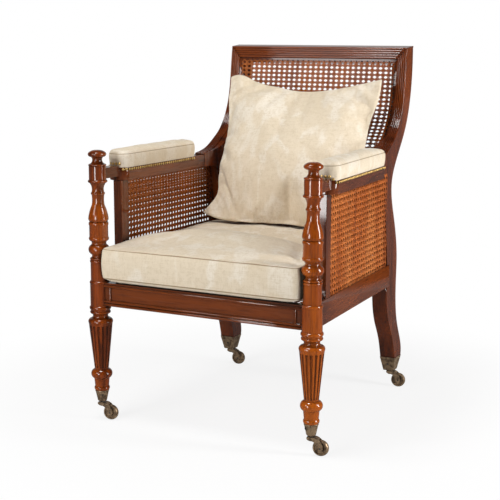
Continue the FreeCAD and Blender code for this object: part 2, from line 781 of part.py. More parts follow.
def seat_cane():
    """Caned seat inside the seat rails."""
    level = float(size.rail_top - size.cane_thick)
    front, back = float(size.front_rail_back), float(size.rear_rail_front)
    half_front, half_back = float(rail_inner_x(front)), float(rail_inner_x(back))
    spots = (-half_front, front), (half_front, front), (half_back, back), (-half_back, back)
    return net([Vector(x, y, level) for x, y in spots], SEAT_GAPS, size.cane_thick)


def cushion_outline(item, half_front, half_back, front, back, corner, draws):
    """Plan of a cushion: front, sides and back drawn in between rounded corners."""
    draw_front, draw_side, draw_back = draws
    middle_y = (front + back) / 2
    side_x = (half_front + half_back) / 2 - draw_side
    tip = corner * 0.25
    return outline(item, (-half_front + corner, front), [
        ("arc", (0, front + draw_front), (half_front - corner, front)),
        ("arc", (half_front - tip, front + tip), (half_front, front + corner)),
        ("arc", (side_x, middle_y), (half_back, back - corner)),
        ("arc", (half_back - tip, back - tip), (half_back - corner, back)),
        ("arc", (0, back - draw_back), (-half_back + corner, back)),
        ("arc", (-half_back + tip, back - tip), (-half_back, back - corner)),
        ("arc", (-side_x, middle_y), (-half_front, front + corner)),
        ("arc", (-half_front + tip, front + tip), (-half_front + corner, front)),
    ])


def seat_cushion():
    """Boxed seat cushion: seams at top and bottom of the border, sides drawn in, crowned top."""
    form = body("seat_cushion")
    low, top = size.seat_seam_low, size.seat_seam_top
    drop, border, rise = low - size.seat_low, top - low, size.seat_crown - top
    steps = (
        (low - drop, 14, 6), (low - drop * 0.5, 5, 5), (low, 0, 5),
        (low + border * 0.25, 4, 6), (low + border * 0.5, 5, 7), (low + border * 0.75, 4, 6),
        (top, 0, 5), (top + rise * 0.4, 14, 5), (top + rise * 0.7, 42, 4),
        (top + rise * 0.9, 90, 3), (top + rise, 180, 2),
    )
    sections = []
    for z, inset, draw in steps:
        sections.append(cushion_outline(
            sketch(form, "XY_Plane", z), size.seat_half_front - inset, size.seat_half_back - inset,
            size.seat_front + inset, size.seat_back - inset, size.seat_corner, (draw, draw, draw)))
    loft(form, sections, ruled=True)
    return form


def back_cushion():
    """Knife-edged scatter cushion with pointed corners, leaning on the back."""
    form = body("back_cushion")
    edge_draws = size.pillow_draw_low, size.pillow_draw_side, size.pillow_draw_top
    swell = ((0.35, 22, 0.88), (0.62, 50, 0.67), (0.84, 88, 0.42), (0.96, 128, 0.25), (1, 165, 0.12))
    steps = [(-size.pillow_back * rise, inset, share) for rise, inset, share in reversed(swell)]
    steps.append((0, 0, 1))
    steps.extend((size.pillow_front * rise, inset, share) for rise, inset, share in swell)
    sections = []
    for lift, inset, share in steps:
        half, tall = size.pillow_half - inset, size.pillow_half_height - inset
        sections.append(cushion_outline(
            sketch(form, "XY_Plane", lift), half, half, -tall, tall, size.pillow_corner,
            [draw * share for draw in edge_draws]))
    loft(form, sections, ruled=True)
    return place(form, 0, size.pillow_y, size.pillow_z, axis=Vector(1, 0, 0), turn=90 - size.pillow_lean)


def corner_block(name, x, y, turn):
    """Triangular glue block in a seat corner, its square corner towards the frame's corner."""
    block = body(name)
    leg, tip = size.block_leg, size.block_tip
    corners = ((-leg, 0), (-leg, tip), (-tip, leg), (0, leg), (0, 0))
    plan = sketch(block, "XY_Plane", size.block_bottom)
    outline(plan, corners[-1], [("to", corner) for corner in corners])
    pad(block, plan, size.block_top - size.block_bottom)
    return place(block, x, y, 0, turn=turn)


def screw(head_at, way, length, radius):
    """Round-head wood screw: head outside at a point, shank along a direction."""
    head_radius = radius * 2
    head = Part.makeCylinder(head_radius, radius, head_at, way * -1)
    tip = Part.makeCone(radius, radius * 0.3, length, head_at, way)
    return head.fuse(tip).removeSplitter().Solids[0]


def front_cup(name, x, y):
    """Round brass socket on the post's foot, with a floor for the swivel pin."""
    cup = body(name)
    top, low = size.turn_foot_ring_low_height, size.front_cup_bottom
    inner_top, inner_low = size.turn_spigot_top_radius, size.turn_spigot_low_radius
    outer_top, outer_low = inner_top + size.cup_wall, inner_low + size.cup_wall
    profile = sketch(cup, "XZ_Plane")
    outline(profile, (size.swivel_pin, low), [
        ("to", (inner_low - 2, low)),
        ("arc", (inner_low + 0.4, low + 1.6), (outer_low, low + 5)),
        ("to", (outer_top, top - 4)),
        ("arc", (outer_top + 1, top - 2), (outer_top, top)),
        ("to", (inner_top, top)),
        ("to", (inner_low, size.turn_spigot_low_height)),
        ("to", (size.swivel_pin, size.turn_spigot_low_height)),
        ("to", (size.swivel_pin, low)),
    ])
    revolve(cup, profile)
    return place(cup, x, y)


def swivel_pin(name, x, y, wood):
    """Swivel pin: fixed in the cup's floor and the wood, with a riveted head under the fork's boss."""
    pin_body = body(name)
    profile = sketch(pin_body, "XZ_Plane")
    head_top = size.fork_bottom - size.head_gap
    head_low = head_top - size.pin_head_deep
    corners = ((size.pin_head, head_low), (size.pin_head, head_top), (size.swivel_pin, head_top),
               (size.swivel_pin, wood), (0, wood), (0, head_low))
    outline(profile, corners[-1], [("to", corner) for corner in corners])
    revolve(pin_body, profile)
    return place(pin_body, x, y)


def castor_fork(name, x, y):
    """Castor horn: a boss round the swivel pin and two cheeks that reach back to the axle."""
    fork = body(name)
    boss, top, low = size.fork_boss, size.fork_top, size.fork_bottom
    trail, hub = size.trail, size.wheel_radius
    eye = 6.5
    half = size.fork_width / 2
    side = sketch(fork, "XZ_Plane", -half)
    outline(side, (-boss, top), [
        ("to", (boss, top)),
        ("arc", (trail - 1, top - 7), (trail + eye, hub)),
        ("arc", (trail, hub - eye), (trail - eye, hub)),
        ("arc", (trail - 13, low - 5), (-boss + 5, low)),
        ("to", (-boss, low + 3)),
        ("to", (-boss, top)),
    ])
    pad(fork, side, size.fork_width)
    doc.recompute()
    wheel_room = size.wheel_radius + 1.2
    slot_profile = circle(sketch(fork, "XZ_Plane", -size.fork_slot / 2), trail, hub, wheel_room)
    slot = feature(fork, "Pocket", slot_profile, "Length", size.fork_slot)
    slot.Reversed = True
    axle_hole = circle(sketch(fork, "XZ_Plane", -half), trail, hub, size.axle_radius)
    hole = feature(fork, "Pocket", axle_hole, "Length", size.fork_width)
    hole.Reversed = True
    pin_hole = circle(sketch(fork, "XY_Plane", top), 0, 0, size.swivel_pin + size.running_gap)
    feature(fork, "Pocket", pin_hole, "Length", (top - low) * 2)
    head_room = circle(sketch(fork, "XY_Plane", low), 0, 0, size.pin_head + size.head_gap)
    feature(fork, "Pocket", head_room, "Length", top - low)
    return place(fork, x, y, 0, turn=size.trail_turn)


def castor_axle(name, x, y):
    """Axle riveted into the fork's cheeks."""
    axle = body(name)
    end = sketch(axle, "XZ_Plane", -size.fork_width / 2)
    pad(axle, circle(end, size.trail, size.wheel_radius, size.axle_radius), size.fork_width)
    return place(axle, x, y, 0, turn=size.trail_turn)


def castor_wheel(name, x, y):
    """Brass wheel with a rounded tread, dished faces and a hub bored for the axle."""
    wheel = body(name)
    radius, half = size.wheel_radius, size.wheel_width / 2
    bore = size.axle_radius + size.running_gap
    hub, dish, rim, tread = 6.5, 2.5, radius - 5, radius - 2
    profile = sketch(wheel, "XY_Plane")
    outline(profile, (bore, -half), [
        ("to", (hub, -half)), ("to", (hub + 1, -half + dish)), ("to", (rim - 1, -half + dish)),
        ("to", (rim, -half)), ("to", (tread, -half)),
        ("arc", (radius, 0), (tread, half)),
        ("to", (rim, half)), ("to", (rim - 1, half - dish)), ("to", (hub + 1, half - dish)),
        ("to", (hub, half)), ("to", (bore, half)), ("to", (bore, -half)),
    ])
    revolve(wheel, profile)
    turn = size.trail_turn
    return place(wheel, x + size.trail * cosine(turn), y + size.trail * sine(turn), radius, turn=turn)


# Seat frame and side pieces that the posts and stiles are cut to receive
relief = body("rail_relief")
relief_plan = circle(sketch(relief, "XY_Plane", size.rail_bottom - size.rail_relief), 0, 0,
                     size.turn_seat_bead_radius + size.rail_relief)
pad(relief, relief_plan, size.rail_relief * 2)
relief = place(relief, size.post_x, size.post_y)
front_seat_rail = cut("front_seat_rail", front_rail(), [relief, mirrored("rail_relief_left", relief)])
side_rail = beside_post(plank("side_seat_rail", size.side_rail_in, size.rail_housing, size.side_rail_out,
                              size.side_rail_end, size.rail_bottom, size.rail_top))
rear_rail = plank("rear_seat_rail", -size.rear_rail_half, size.rear_rail_front, size.rear_rail_half,
                  size.rear_rail_back, size.rail_bottom, size.rail_top)
arm = arm_board()
upright_shaft = plank("upright_shaft", size.upright_in, size.upright_front, size.upright_out,
                      size.upright_back, size.rail_top, size.arm_bottom)
tenon_inset = 7
upright_tenons = plank("upright_tenon", size.upright_in + tenon_inset, size.upright_front + tenon_inset,
                       size.upright_out - tenon_inset, size.upright_back - tenon_inset,
                       size.rail_top - size.upright_tenon, size.arm_bottom + size.upright_tenon)
upright = fuse("side_upright", beside_post(upright_shaft), beside_post(upright_tenons))

# Lower back rail at the foot of the cane
back_sheet, cane_foot = back_cane()
lower_rail_y = cane_foot.y - 8
lower_rail = plank("back_lower_rail", -size.lower_rail_half, lower_rail_y, size.lower_rail_half,
                   lower_rail_y + size.lower_rail_depth, cane_foot.z - size.lower_rail_height, cane_foot.z)
doc.recompute()

# Corner blocks against the inner faces of the rails
glue_gap = 3
front_corner_x = rail_inner_x(size.front_rail_back) - glue_gap
rear_corner_x = size.stile_in - glue_gap
blocks = {
    "corner_block_front": corner_block("front_block", front_corner_x, size.front_rail_back, 0),
    "corner_block_rear": corner_block("rear_block", rear_corner_x, size.rear_rail_front, 90),
}

# Screws: one through each corner block into its rail, two through each castor cup into the foot
block_screws = []
cup_screws = []
screw_depth, screw_length, screw_radius = 22, 36, 2.2
tack_level, tack_radius = 68, 1.2
front_tack_out, front_tack_length = 15.6, 10
rear_tack_out, rear_tack_length = 19.8, 12
block_middle = float(size.block_bottom + size.block_top) / 2
for side in (-1, 1):
    for corner_x, face, way in ((front_corner_x, size.front_rail_back, -1),
                                (rear_corner_x, size.rear_rail_front, 1)):
        x = side * float(corner_x - size.block_leg / 2)
        head_at = Vector(x, float(face) - way * screw_depth, block_middle)
        block_screws.append(screw(head_at, Vector(0, way, 0), screw_length, screw_radius))
    front_foot = Vector(side * float(size.post_x), float(size.post_y), tack_level)
    for turn in (-125, 55):
        out = Vector(side * math.cos(math.radians(turn)), math.sin(math.radians(turn)), 0)
        head_at = front_foot + out * front_tack_out
        cup_screws.append(screw(head_at, out * -1, front_tack_length, tack_radius))
    rear_foot = Vector(side * float(size.rear_cup_x), float(size.rear_cup_y), tack_level)
    for way in (-1, 1):
        out = Vector(0, way, 0)
        head_at = rear_foot + out * rear_tack_out
        cup_screws.append(screw(head_at, out * -1, rear_tack_length, tack_radius))
corner_block_screws = solid("corner_block_screws", Part.makeCompound(block_screws))
castor_cup_screws = solid("castor_cup_screws", Part.makeCompound(cup_screws))

# Swivel pins reach into the wood of the feet
pin_depth = 6
front_foot_low = size.turn_spigot_low_height
rear_foot_low = size.rear_cup_bottom + size.rear_cup_floor
castor_spots = {
    "front_right": (size.post_x, size.post_y, front_foot_low),
    "front_left": (-size.post_x, size.post_y, front_foot_low),
    "rear_right": (size.rear_cup_x, size.rear_cup_y, rear_foot_low),
    "rear_left": (-size.rear_cup_x, size.rear_cup_y, rear_foot_low),
}
pins = {}
for corner, (x, y, foot_low) in castor_spots.items():
    pins[corner] = swivel_pin(f"castor_pin_{corner}", x, y, foot_low + pin_depth)

# Posts, rails and arms, each cut where the next piece is housed
post = cut("front_post", front_post_blank(), [front_seat_rail, side_rail, arm, castor_cup_screws,
                                              pins["front_right"]])
pair("front_post", post)
node("front_seat_rail", cut("front_rail_drilled", front_seat_rail, [corner_block_screws]))
pair("side_seat_rail", cut("side_rail_mortised", side_rail, [upright]))
node("rear_seat_rail", cut("rear_rail_drilled", rear_rail, [corner_block_screws]))
node("back_lower_rail", lower_rail)
pair("arm_rail", cut("arm_rail", arm, [upright]))
pair("side_upright", upright)

# Back stiles: mitred to the crest rail, housed for the rails and the arm, spigot in the castor cup
spigot_overlap = 4
spigot_halves = (20, 21.5), (13, 14)
cup_halves = (22.4, 24.4), (14.4, 15.4)
rear_foot_spot = size.rear_cup_x, size.rear_cup_y
spigot = place(tapered("stile_spigot", *spigot_halves, size.rear_cup_top + spigot_overlap, rear_foot_low),
               *rear_foot_spot)
stile_form = fuse("stile_form", stile_blank(), spigot)
stile = cut("back_stile", stile_form, [
    side_rail, rear_rail, lower_rail, arm, mitre_side("mitre_inside", True), horn_side(),
    castor_cup_screws, pins["rear_right"]])
pair("back_stile", stile)
mitre_right = mitre_side("mitre_outside", False)
mitre_left = mirrored("mitre_outside_left", mitre_right)
node("crest_rail", cut("crest_rail", crest_blank(), [mitre_right, mitre_left]))

# Cane panels, trimmed to the posts and stiles
stiles = [nodes["back_stile_right"], nodes["back_stile_left"]]
posts = [nodes["front_post_right"], nodes["front_post_left"]]
node("cane_back", cut("cane_back", solid("back_net", back_sheet), stiles))
for layer, face in (("cane_side", size.side_cane_out), ("cane_side_inner", size.side_cane_in)):
    side_net = beside_post(solid(f"{layer}_net", side_cane(face)))
    pair(layer, cut(layer, side_net, [stile]))
node("cane_seat", cut("cane_seat", solid("seat_net", seat_cane()), stiles + posts))

# Corner blocks with their screw holes
for name, block in blocks.items():
    pair(name, cut(name, block, [corner_block_screws]))
node("corner_block_screws", corner_block_screws)

# Arm pads and their nails
pair("arm_pad", cut("arm_pad", arm_pad_blank(), [arm]))
pair("arm_nails", beside_post(solid("arm_nails", nail_row())))

# Loose cushions
node("seat_cushion", seat_cushion())
node("back_cushion", back_cushion())

# Castors: cup and pin stay on the leg, fork and axle swivel, wheel rolls
rear_outer = place(tapered("rear_cup_form", *cup_halves, size.rear_cup_top, size.rear_cup_bottom),
                   *rear_foot_spot)
rear_cup = cut("rear_cup", rear_outer, [spigot, pins["rear_right"], castor_cup_screws])
pair("castor_cup_rear", rear_cup)
for corner, (x, y, foot_low) in castor_spots.items():
    if corner.startswith("front"):
        cup = front_cup(f"front_cup_{corner}", x, y)
        node(f"castor_cup_{corner}", cut(f"castor_cup_{corner}", cup, [castor_cup_screws]))
    node(f"castor_pin_{corner}", pins[corner])
    node(f"castor_fork_{corner}", castor_fork(f"castor_fork_{corner}", x, y))
    node(f"castor_axle_{corner}", castor_axle(f"castor_axle_{corner}", x, y))
    node(f"castor_wheel_{corner}", castor_wheel(f"castor_wheel_{corner}", x, y))
node("castor_cup_screws", castor_cup_screws)

doc.recompute()

# Every object must be sound before anything is written
for item in doc.Objects:
    if "Invalid" in item.State or "Error" in item.State:
        raise RuntimeError(f"{item.Label} failed: {item.State}")
for name, item in nodes.items():
    if item.Shape.isNull() or not item.Shape.isValid() or not item.Shape.Solids:
        raise RuntimeError(f"{name} has no sound solid")
    if len(item.Shape.Solids) > 1 and not name.startswith(GROUPS):
        raise RuntimeError(f"{name} falls into {len(item.Shape.Solids)} solids")

os.makedirs("parts", exist_ok=True)
for name, item in nodes.items():
    solids = item.Shape.Solids
    piece = solids[0] if len(solids) == 1 else Part.makeCompound(solids)
    piece.exportStep(f"parts/{name}.step")
    print(f"{name}: {len(solids)} solid, {piece.Volume / 1000:.1f} cm3")
print(len(nodes), "nodes")
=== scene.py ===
import math

import bmesh
import bpy
import numpy as np
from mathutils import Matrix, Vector, noise


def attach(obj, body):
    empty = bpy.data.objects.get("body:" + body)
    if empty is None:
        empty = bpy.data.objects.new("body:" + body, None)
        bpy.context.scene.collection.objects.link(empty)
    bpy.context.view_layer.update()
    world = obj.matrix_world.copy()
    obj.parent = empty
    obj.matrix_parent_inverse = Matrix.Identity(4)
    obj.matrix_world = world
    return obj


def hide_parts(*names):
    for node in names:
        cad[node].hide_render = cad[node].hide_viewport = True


# Library armchair: polished mahogany, woven cane, damask cushions and brass castors.
# Metres in the model's own frame: +Z up, the chair faces -Y, right is +X.

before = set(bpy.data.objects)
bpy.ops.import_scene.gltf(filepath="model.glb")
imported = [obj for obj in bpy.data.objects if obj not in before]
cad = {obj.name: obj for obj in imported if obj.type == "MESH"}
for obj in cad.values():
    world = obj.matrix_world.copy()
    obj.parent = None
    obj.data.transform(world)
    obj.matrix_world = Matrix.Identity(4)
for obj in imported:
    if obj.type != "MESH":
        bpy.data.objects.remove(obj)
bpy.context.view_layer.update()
scene = bpy.context.scene
MM = 0.001
SIDES = {"left": -1, "right": 1}
CORNERS = ("front_left", "front_right", "rear_left", "rear_right")

# Sizes shared with the model, in millimetres
POST = (299, -340)
SPLAY = math.radians(2.8)
RAIL_TOP, UPRIGHT_BACK = 366, 102
FRONT_RAIL_BACK, REAR_RAIL_FRONT, SIDE_RAIL_IN = -329, 222, 20
STILE_SWEEP = ((327, 950), (316, 868), (301, 794), (268, 733), (240, 706), (212, 689),
               (178, 671), (142, 660), (108, 655))
STILE_IN, STILE_WIDTH, STILE_BAND, STILE_LEAN = 236, 43, 27, math.radians(0.4)
CREST_HALF, CREST_TOP, CREST_STEP = 273.5, 950, 918
BACK_CANE_LINE = ((323.7, 903), (318.9, 868), (304, 794), (272, 735), (242, 704), (215, 662),
                  (198, 610), (193, 551), (197, 500), (206, 455))
PILLOW_Y, PILLOW_Z, PILLOW_LEAN = 177, 675, math.radians(23)
ARM_IN, ARM_OUT, ARM_FRONT, ARM_CORNER = -31, 27, 71, 26
PAD_LOW, PAD_SEAM, PAD_TOP, PAD_BACK_IN, PAD_BACK_OUT = 644, 686, 698, 402, 430
# Sizes of the cushions' covers, close to those of the model's solids
SEAT_FRONT, SEAT_BACK, SEAT_HALF_FRONT, SEAT_HALF_BACK = -368, 168, 276, 246
SEAT_LOW, SEAT_SEAM_LOW, SEAT_SEAM_TOP, SEAT_CROWN = 366.8, 381, 457, 473
PILLOW_FRONT, PILLOW_BACK = 68, 24


# Shader building

FIGURE_SCALE, WEAVE_SCALE = 21.0, 190.0


def add(tree, kind, inputs=(), **settings):
    """A node with its settings and inputs; an input that is a socket is linked."""
    node = tree.nodes.new(kind)
    for name, value in settings.items():
        setattr(node, name, value)
    for name, value in dict(inputs).items():
        feed(tree, value, node.inputs[name])
    return node


def feed(tree, value, socket):
    if isinstance(value, bpy.types.NodeSocket):
        tree.links.new(value, socket)
    else:
        socket.default_value = value


def tint(tree, amount, low, high):
    """Mixes two colours."""
    node = add(tree, "ShaderNodeMix", data_type="RGBA", clamp_factor=True)
    for index, value in ((0, amount), (6, low), (7, high)):
        feed(tree, value, node.inputs[index])
    return node.outputs[2]


def sums(tree, operation, *values):
    node = add(tree, "ShaderNodeMath", operation=operation)
    for index, value in enumerate(values):
        feed(tree, value, node.inputs[index])
    return node.outputs[0]


def stretch(tree, place, factors):
    node = add(tree, "ShaderNodeVectorMath", operation="MULTIPLY")
    feed(tree, place, node.inputs[0])
    node.inputs[1].default_value = factors
    return node.outputs[0]


def cloudy(tree, place, scale, detail=3.0, rough=0.55, warp=0.0):
    node = add(tree, "ShaderNodeTexNoise", {"Vector": place, "Scale": scale, "Detail": detail,
                                             "Roughness": rough, "Distortion": warp})
    return node.outputs[0]


def between(tree, value, low, high):
    """0 below low, 1 above high, smooth between."""
    node = add(tree, "ShaderNodeMapRange", {"Value": value, "From Min": low, "From Max": high},
               interpolation_type="SMOOTHSTEP")
    return node.outputs[0]


def overlaid(tree, color, cover, pattern, low, high, amount):
    """Lays a colour over another where a pattern passes from low to high."""
    share = sums(tree, "MULTIPLY", between(tree, pattern, low, high), amount)
    return tint(tree, share, color, cover)


def group(name, inputs, outputs):
    """An empty node group, its given sockets and the sockets that it makes."""
    tree = bpy.data.node_groups.new(name, "ShaderNodeTree")
    for kind, label, value in inputs:
        socket = tree.interface.new_socket(label, in_out="INPUT", socket_type=f"NodeSocket{kind}")
        if value is not None:
            socket.default_value = value
    for kind, label in outputs:
        tree.interface.new_socket(label, in_out="OUTPUT", socket_type=f"NodeSocket{kind}")
    given, made = (tree.nodes.new(f"NodeGroup{end}") for end in ("Input", "Output"))
    return tree, given.outputs, made.inputs


def wood_figure():
    """Grain along the place's Z: streaks, fine lines, open pores and slow changes of tone."""
    tree, given, made = group("wood_figure", (
        ("Vector", "Place", None), ("Color", "Ground", (0.2, 0.07, 0.03, 1)),
        ("Color", "Streak", (0.08, 0.02, 0.01, 1)), ("Color", "Glow", (0.35, 0.13, 0.05, 1)),
    ), (("Color", "Color"), ("Float", "Height"), ("Float", "Rough")))
    place = given["Place"]
    broad = cloudy(tree, stretch(tree, place, (1, 1, 0.09)), 42, 5, 0.6, 0.5)
    fine = cloudy(tree, stretch(tree, place, (1, 1, 0.04)), 260, 3, 0.6)
    open_grain = cloudy(tree, stretch(tree, place, (1, 1, 0.03)), 1100, 2, 0.5)
    pores = between(tree, open_grain, 0.60, 0.72)
    slow = cloudy(tree, stretch(tree, place, (1, 1, 0.35)), 7, 2, 0.5)
    color = tint(tree, between(tree, broad, 0.42, 0.70), given["Ground"], given["Streak"])
    color = overlaid(tree, color, given["Glow"], slow, 0.42, 0.62, 0.8)
    color = overlaid(tree, color, given["Streak"], fine, 0.48, 0.68, 0.45)
    color = tint(tree, sums(tree, "MULTIPLY", pores, 0.45), color, given["Streak"])
    tree.links.new(color, made["Color"])
    lines = sums(tree, "MULTIPLY", fine, 0.3)
    tree.links.new(sums(tree, "SUBTRACT", lines, pores), made["Height"])
    rough = sums(tree, "MULTIPLY_ADD", broad, 0.16, 0.19)
    tree.links.new(sums(tree, "MULTIPLY_ADD", pores, 0.15, rough), made["Rough"])
    return tree


def hollow_shade():
    """Darkens the colour where ambient occlusion finds hollows, seams and nearby parts: partly old
    polish and dust, partly painted shade.
    """
    tree, given, made = group("hollow_shade", (
        ("Color", "Color", (0.5, 0.5, 0.5, 1)), ("Color", "Dirt_And_Shade", (0.03, 0.01, 0.005, 1)),
        ("Float", "Reach", 0.012), ("Float", "Amount", 0.8),
    ), (("Color", "Color"),))
    # painted shade: ambient occlusion, from other parts too, darkens the colour in hollows and
    # creases
    near = add(tree, "ShaderNodeAmbientOcclusion", {"Distance": given["Reach"]}, samples=6)
    hollow = sums(tree, "SUBTRACT", 1.0, between(tree, near.outputs["AO"], 0.38, 0.98))
    amount = sums(tree, "MULTIPLY", hollow, given["Amount"])
    tree.links.new(tint(tree, amount, given["Color"], given["Dirt_And_Shade"]), made["Color"])
    return tree


def cloth_weave():
    """Tone-on-tone woven cloth: soft mottled figure, slubs both ways and a fine weave."""
    tree, given, made = group("cloth_weave", (
        ("Vector", "Place", None), ("Color", "Ground", (0.7, 0.6, 0.45, 1)),
        ("Color", "Figure", (0.85, 0.8, 0.7, 1)), ("Color", "Shade", (0.55, 0.45, 0.3, 1)),
    ), (("Color", "Color"), ("Float", "Height"), ("Float", "Rough")))
    place = given["Place"]
    leaf = cloudy(tree, stretch(tree, place, (1, 1, 0.5)), FIGURE_SCALE, 2, 0.5, 0.6)
    mottle = cloudy(tree, place, 110, 4, 0.7, 0.4)
    worn = cloudy(tree, place, 6, 2, 0.5)
    slub_up = cloudy(tree, stretch(tree, place, (1, 1, 0.06)), 420, 2, 0.6)
    slub_across = cloudy(tree, stretch(tree, place, (0.06, 0.4, 1)), 420, 2, 0.6)
    figure = between(tree, leaf, 0.46, 0.62)
    color = tint(tree, sums(tree, "MULTIPLY", figure, 0.48), given["Ground"], given["Figure"])
    color = overlaid(tree, color, given["Shade"], mottle, 0.45, 0.72, 0.55)
    color = overlaid(tree, color, given["Shade"], worn, 0.5, 0.75, 0.3)
    slubs = sums(tree, "ADD", slub_up, slub_across)
    color = overlaid(tree, color, given["Shade"], slubs, 0.95, 1.3, 0.5)
    tree.links.new(color, made["Color"])
    weave = []
    for axis in ("X", "Y", "Z"):
        bands = add(tree, "ShaderNodeTexWave",
                    {"Vector": place, "Scale": WEAVE_SCALE, "Distortion": 0.6},
                    wave_type="BANDS", bands_direction=axis)
        weave.append(bands.outputs["Fac"])
    threads = sums(tree, "ADD", sums(tree, "MULTIPLY", weave[0], weave[2]), weave[1])
    height = sums(tree, "MULTIPLY_ADD", slubs, 0.9, sums(tree, "MULTIPLY", threads, 0.25))
    tree.links.new(sums(tree, "MULTIPLY_ADD", figure, 0.35, height), made["Height"])
    tree.links.new(sums(tree, "MULTIPLY_ADD", figure, -0.22, 0.82), made["Rough"])
    return tree


def old_metal():
    """Handled brass: dull brown patina, rubbed brighter in patches."""
    tree, given, made = group("old_metal", (
        ("Vector", "Place", None), ("Color", "Bright", (0.5, 0.38, 0.2, 1)),
        ("Color", "Dull", (0.15, 0.1, 0.05, 1)),
    ), (("Color", "Color"), ("Float", "Rough"), ("Float", "Height")))
    patches = cloudy(tree, given["Place"], 95, 5, 0.65, 0.5)
    specks = cloudy(tree, given["Place"], 700, 3, 0.6)
    rubbed = between(tree, patches, 0.36, 0.62)
    color = tint(tree, rubbed, given["Dull"], given["Bright"])
    color = overlaid(tree, color, given["Dull"], specks, 0.55, 0.7, 0.5)
    tree.links.new(color, made["Color"])
    tree.links.new(sums(tree, "MULTIPLY_ADD", rubbed, -0.2, 0.52), made["Rough"])
    tree.links.new(specks, made["Height"])
    return tree


GROUPS = {"wood": wood_figure(), "hollow": hollow_shade(), "cloth": cloth_weave(),
          "metal": old_metal()}


def finish(name, recipe, turn=(0, 0, 0), bump=0.1, bump_depth=0.0004, dirt=None, seam=None,
           **constants):
    """A material: a group on the piece's own place, shade in its hollows, and fixed shader values.
    seam is the colour along the points that a mesh marks as sewn."""
    material = bpy.data.materials.new(name)
    material.use_nodes = True
    tree = material.node_tree
    shader = tree.nodes["Principled BSDF"]
    for socket, value in constants.items():
        shader.inputs[socket.replace("_", " ")].default_value = value
    where = add(tree, "ShaderNodeTexCoord").outputs["Object"]
    place = add(tree, "ShaderNodeMapping", {"Vector": where, "Rotation": turn}).outputs[0]
    kind, inputs = recipe
    source = add(tree, "ShaderNodeGroup", node_tree=GROUPS[kind])
    tree.links.new(place, source.inputs["Place"])
    for label, value in inputs.items():
        source.inputs[label].default_value = value
    color = source.outputs["Color"]
    # painted shade from the hollows group, partly standing for old polish and dust
    if dirt:
        shade = add(tree, "ShaderNodeGroup", node_tree=GROUPS["hollow"])
        tree.links.new(color, shade.inputs["Color"])
        for label, value in dirt.items():
            shade.inputs[label].default_value = value
        color = shade.outputs["Color"]
    if seam:
        sewn = add(tree, "ShaderNodeAttribute", attribute_name="seam").outputs["Fac"]
        color = tint(tree, between(tree, sewn, 0.25, 0.9), color, seam)
    tree.links.new(color, shader.inputs["Base Color"])
    tree.links.new(source.outputs["Rough"], shader.inputs["Roughness"])
    relief = add(tree, "ShaderNodeBump", {"Strength": bump, "Distance": bump_depth,
                                          "Height": source.outputs["Height"]})
    tree.links.new(relief.outputs[0], shader.inputs["Normal"])
    return material


def shade_of(red, green, blue):
    """A colour as it is seen, 0 to 255, as shader values."""
    def linear(level):
        return ((level / 255 + 0.055) / 1.055) ** 2.4 if level > 10 else level / 255 / 12.92

    return linear(red), linear(green), linear(blue), 1


def timber(ground, streak, glow):
    """A recipe for wood or cane, from three colours as they are seen."""
    colors = {"Ground": ground, "Streak": streak, "Glow": glow}
    return "wood", {label: shade_of(*color) for label, color in colors.items()}


def metal(bright, dull):
    return "metal", {"Bright": shade_of(*bright), "Dull": shade_of(*dull)}


TURNED = timber((138, 60, 12), (74, 29, 6), (178, 89, 20))
# This recipe and the next are the turned mahogany set darker: painted shade for the rails,
# uprights, arm rails, stiles and crest.
SAWN_SHADED = timber((98, 43, 15), (54, 21, 7), (126, 60, 20))
SWEPT_SHADED = timber((100, 43, 15), (54, 21, 7), (128, 60, 20))
POLISH = {"Coat_Weight": 1.0, "Coat_Roughness": 0.06, "IOR": 1.45, "Specular_IOR_Level": 0.12}
# Hollow darkening for the mahogany: partly old polish, partly painted shade in coves, grooves and
# where parts meet.
OLD_POLISH_AND_SHADE = {"Dirt_And_Shade": shade_of(26, 9, 4), "Reach": 0.016, "Amount": 0.95}
QUARTER_TURN = math.pi / 2
wood_turned = finish("mahogany_turned", TURNED, dirt=OLD_POLISH_AND_SHADE, **POLISH)
wood_upright = finish("mahogany_upright", SAWN_SHADED, dirt=OLD_POLISH_AND_SHADE, **POLISH)
wood_swept = finish("mahogany_swept", SWEPT_SHADED, dirt=OLD_POLISH_AND_SHADE, **POLISH)
ACROSS, DEEP = (0, QUARTER_TURN, 0), (QUARTER_TURN, 0, 0)
wood_across = finish("mahogany_across", SAWN_SHADED, turn=ACROSS, dirt=OLD_POLISH_AND_SHADE, **POLISH)
wood_crest = finish("mahogany_crest", SWEPT_SHADED, turn=ACROSS, dirt=OLD_POLISH_AND_SHADE, **POLISH)
wood_deep = finish("mahogany_deep", SAWN_SHADED, turn=DEEP, dirt=OLD_POLISH_AND_SHADE, **POLISH)
# Hollow darkening for the cane: partly dust, partly painted shade where strands cross and meet the
# frame.
CANE_DUST_AND_SHADE = {"Dirt_And_Shade": shade_of(60, 24, 10), "Reach": 0.006, "Amount": 0.6}
CANE = {"bump": 0.15, "dirt": CANE_DUST_AND_SHADE, "Specular_IOR_Level": 0.15}
cane_strand = finish("stained_cane", timber((190, 104, 50), (142, 70, 30), (212, 130, 70)), **CANE)
# A darker copy of the cane for the back, the seat and the sides' inner layers: partly a darker
# stain, partly painted shade for cane that sits in shade.
dark_cane = finish("dark_cane", timber((150, 75, 28), (108, 50, 17), (172, 95, 42)), **CANE)
peg_wood = finish("cane_pegs", timber((58, 24, 12), (30, 12, 6), (80, 36, 18)))
CREAM = {"Ground": shade_of(223, 208, 184), "Figure": shade_of(239, 232, 220),
         "Shade": shade_of(204, 186, 156)}
